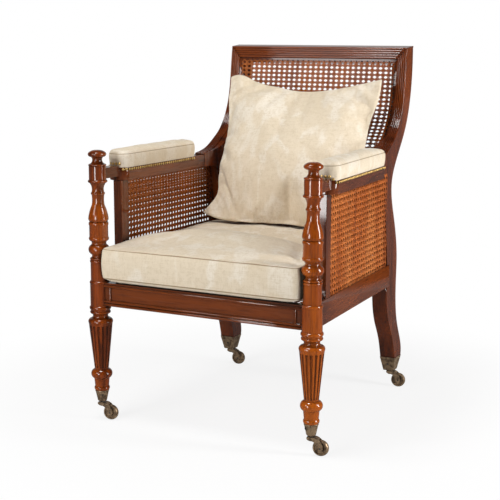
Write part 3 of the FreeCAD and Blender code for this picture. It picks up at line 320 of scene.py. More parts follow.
# Hollow darkening for the cushions: partly dust, partly painted shade in the seams' creases and
# where the cushions meet.
SEAM_DUST_AND_SHADE = {"Dirt_And_Shade": shade_of(150, 124, 92), "Reach": 0.010, "Amount": 0.7}
damask = finish("cream_damask", ("cloth", CREAM), bump=0.35, bump_depth=0.0005, dirt=SEAM_DUST_AND_SHADE,
                seam=shade_of(150, 126, 96), Sheen_Weight=0.15, Sheen_Roughness=0.4)
BRASS_GRIME = {"Dirt_And_Shade": shade_of(30, 22, 13), "Reach": 0.006, "Amount": 0.8}
aged_brass = finish("aged_brass", metal((178, 150, 118), (102, 82, 62)), bump=0.15,
                    dirt=BRASS_GRIME, Metallic=0.55)
nail_brass = finish("nail_brass", metal((226, 190, 118), (160, 124, 66)), Metallic=0.7)
dark_steel = finish("dark_steel", metal((120, 116, 110), (60, 56, 52)), Metallic=1.0)


# Mesh making

WELD_REACH, SHARP_EDGE = 0.01 * MM, math.radians(32)
SPLINE_FINENESS = 8


def spline(points, count):
    """Points evenly spread along a smooth line through the given ones, and the line's length."""
    known = np.array(points, float)
    steps = np.r_[0, np.cumsum(np.linalg.norm(np.diff(known, axis=0), axis=1))]
    last = len(known) - 1
    gaps = np.diff(steps)
    matrix = np.eye(last + 1)
    right = np.zeros_like(known)
    slopes = np.diff(known, axis=0) / gaps[:, None]
    for i in range(1, last):
        matrix[i, i - 1:i + 2] = gaps[i - 1], 2 * (gaps[i - 1] + gaps[i]), gaps[i]
        right[i] = 6 * (slopes[i] - slopes[i - 1])
    bends = np.linalg.solve(matrix, right)

    def at(where):
        i = np.clip(np.searchsorted(steps, where, side="right") - 1, 0, last - 1)
        a = (steps[i + 1] - where) / gaps[i]
        b = 1 - a
        curve = ((a ** 3 - a) * bends[i].T + (b ** 3 - b) * bends[i + 1].T) * gaps[i] ** 2 / 6
        return (a * known[i].T + b * known[i + 1].T + curve).T

    tried = np.linspace(0, steps[-1], count * SPLINE_FINENESS)
    walked = np.r_[0, np.cumsum(np.linalg.norm(np.diff(at(tried), axis=0), axis=1))]
    even = np.interp(np.linspace(0, walked[-1], count), walked, tried)
    return at(even), walked[-1]


def make_mesh(name, points, faces):
    mesh = bpy.data.meshes.new(name)
    mesh.from_pydata([tuple(p) for p in points], [], [tuple(f) for f in faces])
    mesh.validate()
    mesh.polygons.foreach_set("use_smooth", [True] * len(mesh.polygons))
    return mesh


def piece(name, mesh, material, body, replaces=()):
    item = bpy.data.objects.new(name, mesh)
    scene.collection.objects.link(item)
    mesh.materials.clear()
    mesh.materials.append(material)
    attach(item, body)
    if replaces:
        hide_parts(*replaces)
    return item


def polished(node, material, edge=0.0):
    """A CAD piece kept as it is: smooth polished faces, with crisp or eased edges."""
    item = cad[node]
    item.data.materials.clear()
    item.data.materials.append(material)
    weld = item.modifiers.new("weld", "WELD")
    weld.merge_threshold = WELD_REACH
    if edge:
        eased = item.modifiers.new("eased", "BEVEL")
        eased.width = edge * MM
        eased.segments = 2
        eased.limit_method = "ANGLE"
        eased.angle_limit = SHARP_EDGE
        eased.use_clamp_overlap = True
        eased.harden_normals = True
    else:
        crisp = item.modifiers.new("crisp", "EDGE_SPLIT")
        crisp.split_angle = SHARP_EDGE


for side in SIDES:
    polished(f"front_post_{side}", wood_turned)
    polished(f"side_upright_{side}", wood_upright, 1.0)
    polished(f"back_stile_{side}", wood_swept, 1.4)
    polished(f"arm_rail_{side}", wood_deep, 1.0)
    polished(f"side_seat_rail_{side}", wood_deep, 1.2)
    for end in ("front", "rear"):
        polished(f"corner_block_{end}_{side}", wood_across)
    polished(f"arm_nails_{side}", nail_brass)
for name in ("front_seat_rail", "rear_seat_rail", "back_lower_rail"):
    polished(name, wood_across, 0.6)
polished("crest_rail", wood_crest, 0.6)
for corner in CORNERS:
    for part in ("cup", "fork", "wheel"):
        polished(f"castor_{part}_{corner}", aged_brass)
    for part in ("pin", "axle"):
        polished(f"castor_{part}_{corner}", dark_steel)
for name in ("corner_block_screws", "castor_cup_screws"):
    polished(name, dark_steel)


# Reeding on the stiles and the crest rail, mitred at the corners

REEDS, REED_RISE, REED_POINTS = 5, 2.0, 8
# How far the grooves are sunk, the bare edge at each side, and the depth inside the wood
REED_SINK, REED_EDGE, REED_BACK = 0.25, 0.3, 0.9
STILE_STEPS, CREST_STEPS = 90, 41


def reed_height(share):
    """Rise of the reeds at a share of the band's width; the grooves are sunk in the wood."""
    inside = share * REEDS
    off_middle = 2 * (inside - math.floor(inside)) - 1
    return REED_RISE * math.sqrt(max(0.0, 1 - off_middle ** 2)) - REED_SINK


def ribbon(name, lines, lifts, ways, mirror):
    """A closed strip: rows of points across, each lifted along its way, backed inside the wood."""
    rows = len(lines)
    across = len(lifts)
    points = []
    for line, way in zip(lines, ways):
        points.extend(p + way * lift for p, lift in zip(line, lifts))
        points.extend((line[0] - way * REED_BACK, line[-1] - way * REED_BACK))
    wide = across + 2
    faces = []
    order = list(range(across)) + [across + 1, across]
    for row in range(rows - 1):
        for a, b in zip(order, order[1:] + order[:1]):
            near, far = row * wide, (row + 1) * wide
            faces.append((near + a, near + b, far + b, far + a))
    faces.append(tuple(reversed(order)))
    faces.append(tuple((rows - 1) * wide + i for i in order))
    points = np.array(points) * MM
    if mirror:
        points[:, 0] *= -1
        faces = [tuple(reversed(face)) for face in faces]
    return make_mesh(name, points, faces)


def reed_shares():
    """Where the reeds' points lie, as shares of the band's width."""
    return [(reed + k / REED_POINTS) / REEDS
            for reed in range(REEDS) for k in range(REED_POINTS)] + [1.0]


def stile_reeds(side):
    """Reeds down the front of a stile, from the mitre to the back of the arm pad."""
    sweep, length = spline([(0, y, z) for y, z in STILE_SWEEP], STILE_STEPS)
    walked = np.linspace(0, length, STILE_STEPS)
    outer, band, reach = STILE_IN + STILE_WIDTH - REED_EDGE, STILE_BAND - 2 * REED_EDGE, 2

    def on_sweep(along):
        return np.array([np.interp(along, walked, sweep[:, k]) for k in range(3)])

    shares = reed_shares()
    lines, ways = [], []
    for step in np.linspace(0, 1, STILE_STEPS):
        line = []
        for share in shares:
            start = share * (CREST_TOP - CREST_STEP)
            y, z = on_sweep(start + (length - start) * step)[1:]
            x = outer - share * band - z * math.sin(STILE_LEAN)
            line.append(np.array((x, y, z)))
        middle = (CREST_TOP - CREST_STEP) / 2 * (1 - step) + length * step
        run = on_sweep(middle + reach) - on_sweep(middle - reach)
        run /= np.linalg.norm(run)
        lines.append(line)
        ways.append(np.array((0, run[2], -run[1])))
    lifts = [reed_height(share) for share in shares]
    mesh = ribbon(f"stile_reeds_{side}", lines, lifts, ways, SIDES[side] < 0)
    piece(f"stile_reeds_{side}", mesh, wood_swept, "frame")


def crest_reeds():
    """Reeds along the crest rail between its two mitres."""
    (top_y, top_z), (next_y, next_z) = STILE_SWEEP[:2]
    lean = (top_y - next_y) / (top_z - next_z)
    shares = reed_shares()
    way = np.array((0, -1, lean)) / math.hypot(1, lean)
    lines = []
    for step in np.linspace(-1, 1, CREST_STEPS):
        line = []
        for share in shares:
            z = CREST_TOP - REED_EDGE - share * (CREST_TOP - CREST_STEP - 2 * REED_EDGE)
            x = step * (CREST_HALF - REED_EDGE - share * STILE_BAND)
            line.append(np.array((x, top_y - (CREST_TOP - z) * lean, z)))
        lines.append(line)
    lifts = [reed_height(share) for share in shares]
    mesh = ribbon("crest_reeds", lines, lifts, [way] * CREST_STEPS, False)
    piece("crest_reeds", mesh, wood_crest, "frame")


for side in SIDES:
    stile_reeds(side)
crest_reeds()


# Woven cane

# Widths of the paired strands and of the diagonals, and the thickness of both, in millimetres
BACK_STRANDS, SIDE_STRANDS, CANE_DEPTH = (2.25, 2.35), (2.5, 2.6), 0.55
# How far each strand of a pair lies from its line, in pitches; how far strands weave up and down
PAIR_ACROSS, PAIR_UP, WEAVE, SEAT_WEAVE, DIAGONAL_WEAVE = 0.085, 0.1, 0.45, 0.3, 1.8
PEG, PEG_LINE, PEG_SIDES, FIRST_PEG = 2.3, 8, 8, 14
PEG_RINGS = ((1.0, -0.8), (1.0, 0.7), (0.6, 1.2))  # share of the radius, and lift
BACK_STEPS, BACK_SLOPE, BACK_LIFT = 160, 0.14, 0.9
BACK_COLUMNS, BACK_ROWS, SEAT_CELLS, SEAT_CANE = 29, 40, 36, 364.3


def counted(last, step):
    """0 to last in even steps, both ends included."""
    return np.arange(round(last / step) + 1) * step


def strands(paths, widths):
    """Flat strands along paths of (point, way out) rows, as one closed mesh each."""
    points, faces = [], []
    for (line, out), width in zip(paths, widths):
        run = np.gradient(line, axis=0)
        side = np.cross(run, out)
        side /= np.linalg.norm(side, axis=1)[:, None]
        first = sum(len(known) for known in points)
        half, deep = side * width / 2, out * CANE_DEPTH * MM / 2
        corners = (-half - deep, half - deep, half + deep, deep - half)
        count = len(line)
        points.append(np.stack([line + corner for corner in corners], axis=1).reshape(-1, 3))
        base = first + 4 * np.arange(count - 1)[:, None]
        for a, b in ((0, 1), (1, 2), (2, 3), (3, 0)):
            faces.append(np.concatenate((base + a, base + b, base + 4 + b, base + 4 + a), axis=1))
        end = first + 4 * (count - 1)
        faces.append(np.array([[first + 3, first + 2, first + 1, first],
                               [end, end + 1, end + 2, end + 3]]))
    return np.concatenate(points), np.concatenate(faces)


def woven(name, surface, columns, rows, replaces, widths_of, across=None, up=None, weave=WEAVE,
          stain_and_shade=dark_cane):
    """Six-way caning: paired strands both ways, and two diagonals through the middles of the
    cells' sides. surface(u, v) gives points and ways out; u and v count pitches across and up."""
    paths, widths = [], []
    strand_width, binding_width = widths_of

    def strand(us, vs, lift, width):
        spots, out = surface(us, vs)
        paths.append(((spots + out * lift[:, None]) * MM, out))
        widths.append(width * MM)

    for column in across or range(columns + 1):
        for pair in (-1, 1):
            vs = counted(rows, 0.5)
            us = np.full_like(vs, column + pair * PAIR_ACROSS)
            over = np.cos(math.pi * (np.floor(vs) + column + (pair > 0)))
            strand(us, vs, weave * over, strand_width)
    for row in up or range(rows + 1):
        for pair in (-1, 1):
            us = counted(columns, 0.5)
            vs = np.full_like(us, row + pair * PAIR_UP)
            over = np.cos(math.pi * (np.floor(us) + row + (pair > 0)))
            strand(us, vs, -weave * over, strand_width)
    for way in (-1, 1):
        for start in range(-rows - 1, columns + rows + 2):
            vs = counted(rows, 0.25)
            us = start + 0.5 + way * vs
            inside = (us >= 0) & (us <= columns)
            if inside.sum() > 2:
                lift = weave * DIAGONAL_WEAVE * np.cos(math.pi * 2 * vs[inside]) * way
                strand(us[inside], vs[inside], lift, binding_width)
    points, faces = strands(paths, widths)
    mesh = bpy.data.meshes.new(name)
    mesh.from_pydata(points, [], faces)
    mesh.polygons.foreach_set("use_smooth", [False] * len(mesh.polygons))
    piece(name, mesh, stain_and_shade, "frame", replaces)


def pegs(name, surface, places):
    """Low round pegs that hold the strands in their holes."""
    points, faces = [], []
    turns = [2 * math.pi * k / PEG_SIDES for k in range(PEG_SIDES)]
    spots, outs = surface(*np.array(places, float).T)
    for spot, out in zip(spots, outs):
        right = np.array((1.0, 0, 0)) - out * out[0]
        right /= np.linalg.norm(right)
        above = np.cross(out, right)
        first = len(points)
        for share, lift in PEG_RINGS:
            points.extend(spot + (right * math.cos(turn) + above * math.sin(turn)) * PEG * share
                          + out * lift for turn in turns)
        last = first + (len(PEG_RINGS) - 1) * PEG_SIDES
        for ring in range(first, last, PEG_SIDES):
            for k in range(PEG_SIDES):
                a, b = ring + k, ring + (k + 1) % PEG_SIDES
                faces.append((a, b, b + PEG_SIDES, a + PEG_SIDES))
        faces.append(tuple(last + k for k in range(PEG_SIDES)))
        faces.append(tuple(first + k for k in reversed(range(PEG_SIDES))))
    piece(name, make_mesh(name, np.array(points) * MM, faces), peg_wood, "frame")


def back_surface(columns, rows):
    """The back's cane, following the stiles and lapped over their inner bands.
    u counts from the left, v from the foot."""
    top_y, top_z = BACK_CANE_LINE[0]
    peg_row = (top_y + PEG_LINE * BACK_SLOPE, top_z + PEG_LINE)
    rising = reversed((peg_row,) + BACK_CANE_LINE)
    line, length = spline([(0, y, z) for y, z in rising], BACK_STEPS)
    walked = np.linspace(0, length, BACK_STEPS)
    run = np.gradient(line, axis=0)
    run /= np.linalg.norm(run, axis=1)[:, None]

    def surface(us, vs):
        along = np.asarray(vs) / rows * length
        y, z, up_y, up_z = (np.interp(along, walked, known[:, k])
                            for known in (line, run) for k in (1, 2))
        half = STILE_IN + PEG_LINE - z * math.sin(STILE_LEAN)
        x = (np.asarray(us) / columns * 2 - 1) * half
        out = np.stack((np.zeros_like(y), -up_z, up_y), axis=1)
        return np.stack((x, y, z), axis=1) + out * BACK_LIFT, out

    return surface


def side_surface(pitch, face, sign, start):
    """A side's cane between the upright and the stile; u from the front, v from the seat rail.
    pitch is the spacing along and up, start how far its first strands are shifted."""
    front, low = UPRIGHT_BACK + start[0], RAIL_TOP + start[1]
    turn, slip = math.cos(SPLAY), math.sin(SPLAY)

    def surface(us, vs):
        z = low + np.asarray(vs) * pitch[1]
        along = front + np.asarray(us) * pitch[0]
        x = sign * (POST[0] + face * turn - along * slip)
        y = POST[1] + face * slip + along * turn
        out = np.tile(np.array((sign * turn, slip, 0.0)), (len(x), 1))
        return np.stack((x, y, z), axis=1), out

    return surface


def seat_surface(columns, rows):
    """The seat's cane between the four seat rails."""
    def surface(us, vs):
        share = np.asarray(vs) / rows
        y = FRONT_RAIL_BACK + (REAR_RAIL_FRONT - FRONT_RAIL_BACK) * share
        half = POST[0] - SIDE_RAIL_IN - (y - POST[1]) * math.tan(SPLAY)
        x = (np.asarray(us) / columns * 2 - 1) * half
        out = np.tile(np.array((0.0, 0.0, 1.0)), (len(x), 1))
        return np.stack((x, y, np.full_like(x, SEAT_CANE)), axis=1), out

    return surface


back_cane = back_surface(BACK_COLUMNS, BACK_ROWS)
woven("cane_back_weave", back_cane, BACK_COLUMNS, BACK_ROWS, ("cane_back",), BACK_STRANDS,
      across=range(1, BACK_COLUMNS), up=range(1, BACK_ROWS))
pegs("cane_pegs", back_cane, [(u, BACK_ROWS) for u in range(1, BACK_COLUMNS)]
     + [(u, v) for u in (0, BACK_COLUMNS) for v in range(FIRST_PEG, BACK_ROWS)])
# Both layers of a side's cane: its name, where it lies from the post axis, and its colour, a stain
# outside and darker cane with painted shade inside
SIDE_LAYERS = (("", 1.5, cane_strand), ("_inner", -15.5, dark_cane))
# For both layers of each side: columns, rows, pitch along and up, and where its first strands start
SIDE_WEAVE = {
    "left": ((31, 18, (13.7, 13.9), (0, 0)), (31, 18, (13.7, 14.42), (1.6, 2.7))),
    "right": ((29, 17, (14.65, 14.72), (0, 0)), (28, 17, (14.65, 14.72), (8.9, -0.5))),
}
for side, sign in SIDES.items():
    for (layer, face, stain_and_shade), counts in zip(SIDE_LAYERS, SIDE_WEAVE[side]):
        columns, rows, pitch, start = counts
        woven(f"cane_side{layer}_weave_{side}", side_surface(pitch, face, sign, start),
              columns, rows, (f"cane_side{layer}_{side}",), SIDE_STRANDS, stain_and_shade=stain_and_shade)
woven("cane_seat_weave", seat_surface(SEAT_CELLS, SEAT_CELLS), SEAT_CELLS, SEAT_CELLS,
      ("cane_seat",), SIDE_STRANDS, weave=SEAT_WEAVE)


# Soft goods

def swollen(item, held, pressure, cap, frames=20, stiff=18.0, bend=0.6, ease=0.0):
    """Lets a sewn cover swell round its filling; held points stay and none moves further than
    cap. ease is how much longer the cloth is cut than the space it spans, which puckers it."""
    start = np.array([v.co[:] for v in item.data.vertices])
    cloth = item.modifiers.new("swell", "CLOTH")
    set_up = cloth.settings
    item.vertex_groups.new(name="seams").add(held, 1.0, "REPLACE")
    set_up.vertex_group_mass = "seams"
    set_up.quality = 6
    set_up.mass = 0.25
    set_up.tension_stiffness = stiff
    set_up.compression_stiffness = stiff
    set_up.shear_stiffness = stiff * 0.6
    set_up.bending_stiffness = bend
    set_up.shrink_min = -ease
    set_up.use_pressure = True
    set_up.uniform_pressure_force = pressure
    set_up.effector_weights.gravity = 0
    cloth.collision_settings.use_collision = False
    cloth.point_cache.frame_start = 1
    cloth.point_cache.frame_end = frames
    for number in range(1, frames + 1):
        scene.frame_set(number)
    shown = item.evaluated_get(bpy.context.evaluated_depsgraph_get())
    moved = np.array([v.co[:] for v in shown.data.vertices])
    item.modifiers.remove(cloth)
    item.vertex_groups.clear()
    scene.frame_set(1)
    shift = moved - start
    far = np.linalg.norm(shift, axis=1)
    shift *= np.where(far > cap, cap / np.maximum(far, 1e-9), 1.0)[:, None]
    put(item.data, start + shift)


def mark_sewn(mesh, places):
    """Marks the points of a seam, so that its line shows in the cloth."""
    sewn = np.zeros(len(mesh.vertices), np.float32)
    sewn[places] = 1
    mesh.attributes.new("seam", "FLOAT", "POINT").data.foreach_set("value", sewn)


def put(mesh, points):
    mesh.vertices.foreach_set("co", np.asarray(points, np.float32).ravel())
    mesh.update()


def points_of(mesh):
    found = np.empty(len(mesh.vertices) * 3, np.float32)
    mesh.vertices.foreach_get("co", found)
    return found.reshape(-1, 3).astype(float)


def subdivided(item):
    """Smooths a cover once, for good."""
    smooth = item.modifiers.new("smooth", "SUBSURF")
    smooth.levels = smooth.render_levels = 1
    shown = item.evaluated_get(bpy.context.evaluated_depsgraph_get())
    mesh = bpy.data.meshes.new_from_object(shown)
    item.modifiers.clear()
    old = item.data
    mesh.name = f"{item.name}_cover"
    item.data = mesh
    bpy.data.meshes.remove(old)


def grid_faces(first, columns, rows, flip=False):
    faces = []
    for row in range(rows):
        for column in range(columns):
            a = first + row * (columns + 1) + column
            face = (a, a + 1, a + columns + 2, a + columns + 1)
            faces.append(tuple(reversed(face)) if flip else face)
    return faces


def rim(columns, rows):
    """Grid places round the edge, anticlockwise from the front left."""
    wide = columns + 1
    front = list(range(columns))
    right = [columns + wide * r for r in range(rows)]
    back = [columns - c + wide * rows for c in range(columns)]
    left = [wide * (rows - r) for r in range(rows)]
    return front + right + back + left


def wrinkle(points, scale, depth, seed):
    """Soft uneven rises and dips, the same on every run."""
    shift = Vector((seed, seed * 0.7, 0))
    return np.array([noise.noise(Vector(p) * scale + shift) for p in points]) * depth


def spread(count, edge):
    """Shares from 0 to 1 in even steps, with one narrow step at each end."""
    return [0.0] + [edge + (1 - 2 * edge) * k / (count - 2) for k in range(count - 1)] + [1.0]


def bumps(x, y, forms):
    """Soft rises and hollows of a panel: how much each runs askew, its centre, reach and height."""
    total = np.zeros_like(x)
    for (slant, tilt), centre, reach, height in forms:
        across = (x + slant * y - centre[0]) / reach[0]
        along = (y + tilt * x - centre[1]) / reach[1]
        total += height * np.exp(-across ** 2 - along ** 2)
    return total


# The rolled front, the sitter's hollow, and a fold with its ridge beside the right post, in metres
SEAT_FORMS = (
    ((0, 0), (-0.02, -0.205), (0.21, 0.085), 0.028),
    ((0, 0), (0.04, -0.05), (0.19, 0.07), -0.034),
    ((0.35, 0), (0.135, -0.25), (0.016, 0.07), -0.010),
    ((0.35, 0), (0.165, -0.24), (0.018, 0.08), 0.006),
)
SEAT_CORNER, SEAT_SWELL, POST_CLEAR = 14.0, 3.5, 0.0285
SEAM_DRAW, SEAM_DROP, SEAM_FORM = 0.0022, 0.0018, 0.2


def seat_cover():
    """Boxed seat cushion, hollowed by the sitter and pressed in by the front posts."""
    columns, rows = 60, 58
    corner, seam = SEAT_CORNER, 0.006
    border = spread(10, 0.045)
    middle_y = (SEAT_FRONT + SEAT_BACK) / 2

    def plan(u, v):
        half = SEAT_HALF_FRONT + (SEAT_HALF_BACK - SEAT_HALF_FRONT) * v
        x, y = u * half, SEAT_FRONT + (SEAT_BACK - SEAT_FRONT) * v
        side, end = half - abs(x), min(y - SEAT_FRONT, SEAT_BACK - y)
        if side < corner and end < corner:
            a, b = corner - side, corner - end
            far = math.hypot(a, b)
            if far > corner:
                x = math.copysign(half - corner + a * corner / far, x)
                pull = corner - b * corner / far
                y = SEAT_FRONT + pull if v < 0.5 else SEAT_BACK - pull
        return x, y

    points = []
    for panel, fullness in ((0, 3.4), (1, 24)):
        for v in spread(rows, seam):
            for share in spread(columns, seam):
                u = share * 2 - 1
                x, y = plan(u, v)
                rise = (1 - abs(u) ** fullness) * (1 - abs(2 * v - 1) ** fullness)
                if panel == 0:
                    z = SEAT_SEAM_TOP + (SEAT_CROWN - SEAT_SEAM_TOP) * 0.8 * rise
                else:
                    z = SEAT_SEAM_LOW - (SEAT_SEAM_LOW - SEAT_LOW) * rise
                points.append((x, y, z))
    panel_size = (columns + 1) * (rows + 1)
    faces = grid_faces(0, columns, rows) + grid_faces(panel_size, columns, rows, flip=True)
    edge = rim(columns, rows)
    belts = [edge]
    for share in border[1:-1]:
        ring = []
        for place in edge:
            x, y, _ = points[place]
            swell = SEAT_SWELL * math.sin(math.pi * share)
            out = Vector((x, y - middle_y, 0)).normalized() * swell
            drop = (SEAT_SEAM_LOW - SEAT_SEAM_TOP) * share
            ring.append(len(points))
            points.append((x + out.x, y + out.y, SEAT_SEAM_TOP + drop))
        belts.append(ring)
    belts.append([panel_size + place for place in edge])
    for upper, lower in zip(belts, belts[1:]):
        for a in range(len(edge)):
            b = (a + 1) % len(edge)
            faces.append((upper[a], lower[a], lower[b], upper[b]))
    mesh = make_mesh("seat_cover", np.array(points) * MM, faces)
    item = piece("seat_cushion_cover", mesh, damask, "seat_cushion", ("seat_cushion",))
    held = sorted(set(belts[0]) | set(range(panel_size, 2 * panel_size)))
    swollen(item, held, pressure=3.0, cap=0.012)
    shaped = points_of(item.data)
    on_top, on_seam, on_border = (np.zeros(len(shaped), bool) for _ in range(3))
    on_top[:panel_size] = True
    on_seam[belts[0]] = True
    on_border[[i for belt in belts[1:-1] for i in belt]] = True
    x, y = shaped[:, 0], shaped[:, 1]
    creases = wrinkle(shaped, 11, 0.004, 3) + wrinkle(shaped, 30, 0.0016, 8)
    form = (bumps(x, y, SEAT_FORMS) + creases) * np.where(on_seam, SEAM_FORM, 1.0)
    shaped[:, 2] += np.where(on_top, form, 0)
    out = np.stack((x, y - middle_y * MM, np.zeros_like(x)), axis=1)
    out /= np.linalg.norm(out, axis=1)[:, None] + 1e-9
    puckers = wrinkle(shaped * (1, 1, 0.35), 16, 0.003, 5)
    shaped += out * np.where(on_border, puckers, 0)[:, None]
    shaped -= (out * SEAM_DRAW + np.array((0, 0, SEAM_DROP))) * on_seam[:, None]
    mark_sewn(item.data, belts[0] + belts[-1])
    for sign in SIDES.values():
        away = shaped[:, :2] - np.array((sign * POST[0], POST[1])) * MM
        far = np.linalg.norm(away, axis=1)
        near = far < POST_CLEAR
        shaped[near, :2] += (away / far[:, None] * (POST_CLEAR - far)[:, None])[near]
    put(item.data, shaped)
    subdivided(item)


# Outline of the back cushion on its own leaning plane, from each corner to the next, in millimetres
PILLOW_FOOT = ((-249, -203), (-205, -216), (-157, -221), (-60, -221), (30, -219), (120, -222),
               (190, -215), (238, -203))
PILLOW_RIGHT = ((238, -203), (222, -150), (215, -60), (214, 14), (218, 94), (229, 150), (229, 210))
PILLOW_TOP = ((-241, 206), (-219, 213), (-156, 195), (-82, 179), (-30, 170), (34, 169), (99, 178),
              (163, 193), (229, 210))
PILLOW_LEFT = ((-249, -203), (-227, -172), (-213, -146), (-216, -107), (-219, -42), (-217, 10),
               (-219, 65), (-229, 113), (-235, 158), (-241, 206))
# A dip below the top edge, a swell at its left, a crease at the right and a full lower half
PILLOW_FORMS = (
    ((-0.12, 0), (-0.035, 0.15), (0.022, 0.06), -0.010),
    ((0, 0), (-0.10, 0.10), (0.08, 0.07), 0.004),
    ((0, -0.14), (0.16, -0.062), (0.06, 0.016), -0.008),
    ((0, 0), (0.02, -0.10), (0.16, 0.08), 0.006),
)
PILLOW_START = 14  # how far the panels stand apart before they are filled, in millimetres


def pillow_cover():
    """Knife-edged scatter cushion: two panels sewn along its outline, cut full, then filled."""
    columns, rows = 64, 58
    foot, top = (spline(line, columns + 1)[0] for line in (PILLOW_FOOT, PILLOW_TOP))
    left, right = (spline(line, rows + 1)[0] for line in (PILLOW_LEFT, PILLOW_RIGHT))
    points, faces = [], []
    edge = rim(columns, rows)
    on_edge = set(edge)
    place_of = {}
    for panel, way in ((0, 1), (1, -1)):
        for row in range(rows + 1):
            for column in range(columns + 1):
                spot = row * (columns + 1) + column
                if panel and spot in on_edge:
                    place_of[panel, spot] = place_of[0, spot]
                    continue
                u, v = column / columns, row / rows
                flat = (foot[column] * (1 - v) + top[column] * v
                        + left[row] * (1 - u) + right[row] * u
                        - foot[0] * (1 - u) * (1 - v) - foot[-1] * u * (1 - v)
                        - top[0] * (1 - u) * v - top[-1] * u * v)
                inside = 0 if spot in on_edge else math.sin(math.pi * u) * math.sin(math.pi * v)
                bulge = PILLOW_START * inside ** 0.5
                place_of[panel, spot] = len(points)
                points.append((*flat, way * bulge))
        for face in grid_faces(0, columns, rows, flip=bool(panel)):
            faces.append(tuple(place_of[panel, spot] for spot in face))
    mesh = make_mesh("pillow_cover", np.array(points) * MM, faces)
    item = piece("back_cushion_cover", mesh, damask, "back_cushion", ("back_cushion",))
    swollen(item, edge, pressure=4.0, cap=0.075, frames=26, stiff=14.0, bend=0.35, ease=0.05)
    shaped = points_of(item.data)
    deep = shaped[:, 2]
    front, back = PILLOW_FRONT * MM / deep.max(), PILLOW_BACK * MM / -deep.min()
    shaped[:, 2] *= np.where(deep > 0, front, back)
    x, y, z = shaped.T
    fullness = np.clip(z / (PILLOW_FRONT * MM), 0, 1)
    creases = wrinkle(shaped, 9, 0.007, 2) + wrinkle(shaped, 24, 0.003, 6)
    shaped[:, 2] += (bumps(x, y, PILLOW_FORMS) + creases) * fullness ** 0.5 * (z > 0)
    lean, sway = math.sin(PILLOW_LEAN), math.cos(PILLOW_LEAN)
    x, y, z = shaped.T
    put(item.data, np.stack((x, PILLOW_Y * MM + y * lean - z * sway,
                             PILLOW_Z * MM + y * sway + z * lean), axis=1))
    subdivided(item)


# Arm pads: points along each side, round each corner and across the back
ALONG, ROUND, BEHIND = 38, 9, 8
PAD_SKIRT, PAD_HEM, NAIL_ARCH = 2.0, PAD_LOW + 8, PAD_LOW + 23
NECK_SIDE, NECK_BACK, NECK_INSET = 24, ARM_FRONT + 14, 0.075
SPINE_BACK, SPINE_FRONT = PAD_BACK_IN - 14, ARM_FRONT + 28
# How far each ring of the cover lies in towards the pad's spine, and its height, from hem to crown
PAD_RINGS = (
    (0.08, PAD_LOW), (0.08, PAD_LOW + 4), (0.07, PAD_HEM), (0.03, PAD_HEM + 6), (0.0, PAD_HEM + 14),
    (-0.01, PAD_HEM + 22), (-0.005, PAD_SEAM - 6), (0.0, PAD_SEAM - 1.5), (0.045, PAD_SEAM),
    (0.04, PAD_SEAM + 2), (0.1, PAD_SEAM + 6), (0.22, PAD_TOP - 3), (0.42, PAD_TOP - 1),
    (0.66, PAD_TOP), (0.9, PAD_TOP + 0.3),
)


def arm_outline():
    """Plan of an arm pad's edge in the arm's own lines: square back, rounded front."""
    inner, outer = ARM_IN - PAD_SKIRT, ARM_OUT + PAD_SKIRT
    corner = ARM_CORNER + PAD_SKIRT
    bend = ARM_FRONT - PAD_SKIRT + corner
    turns = [k / ROUND * QUARTER_TURN for k in range(ROUND)]
    outline = [(inner, PAD_BACK_IN + (bend - PAD_BACK_IN) * k / ALONG) for k in range(ALONG)]
    outline.extend((inner + corner - corner * math.cos(a), bend - corner * math.sin(a))
                   for a in turns)
    outline.extend((outer - corner + corner * math.sin(a), bend - corner * math.cos(a))
                   for a in turns)
    outline.extend((outer, bend + (PAD_BACK_OUT - bend) * k / ALONG) for k in range(ALONG))
    for k in range(BEHIND):
        share = k / BEHIND
        outline.append((outer + (inner - outer) * share,
                        PAD_BACK_OUT + (PAD_BACK_IN - PAD_BACK_OUT) * share))
    return np.array(outline)


def over_neck(across, along):
    """Where the cover's front passes over the neck between arm and post."""
    return (abs(across) < NECK_SIDE) & (along < NECK_BACK)


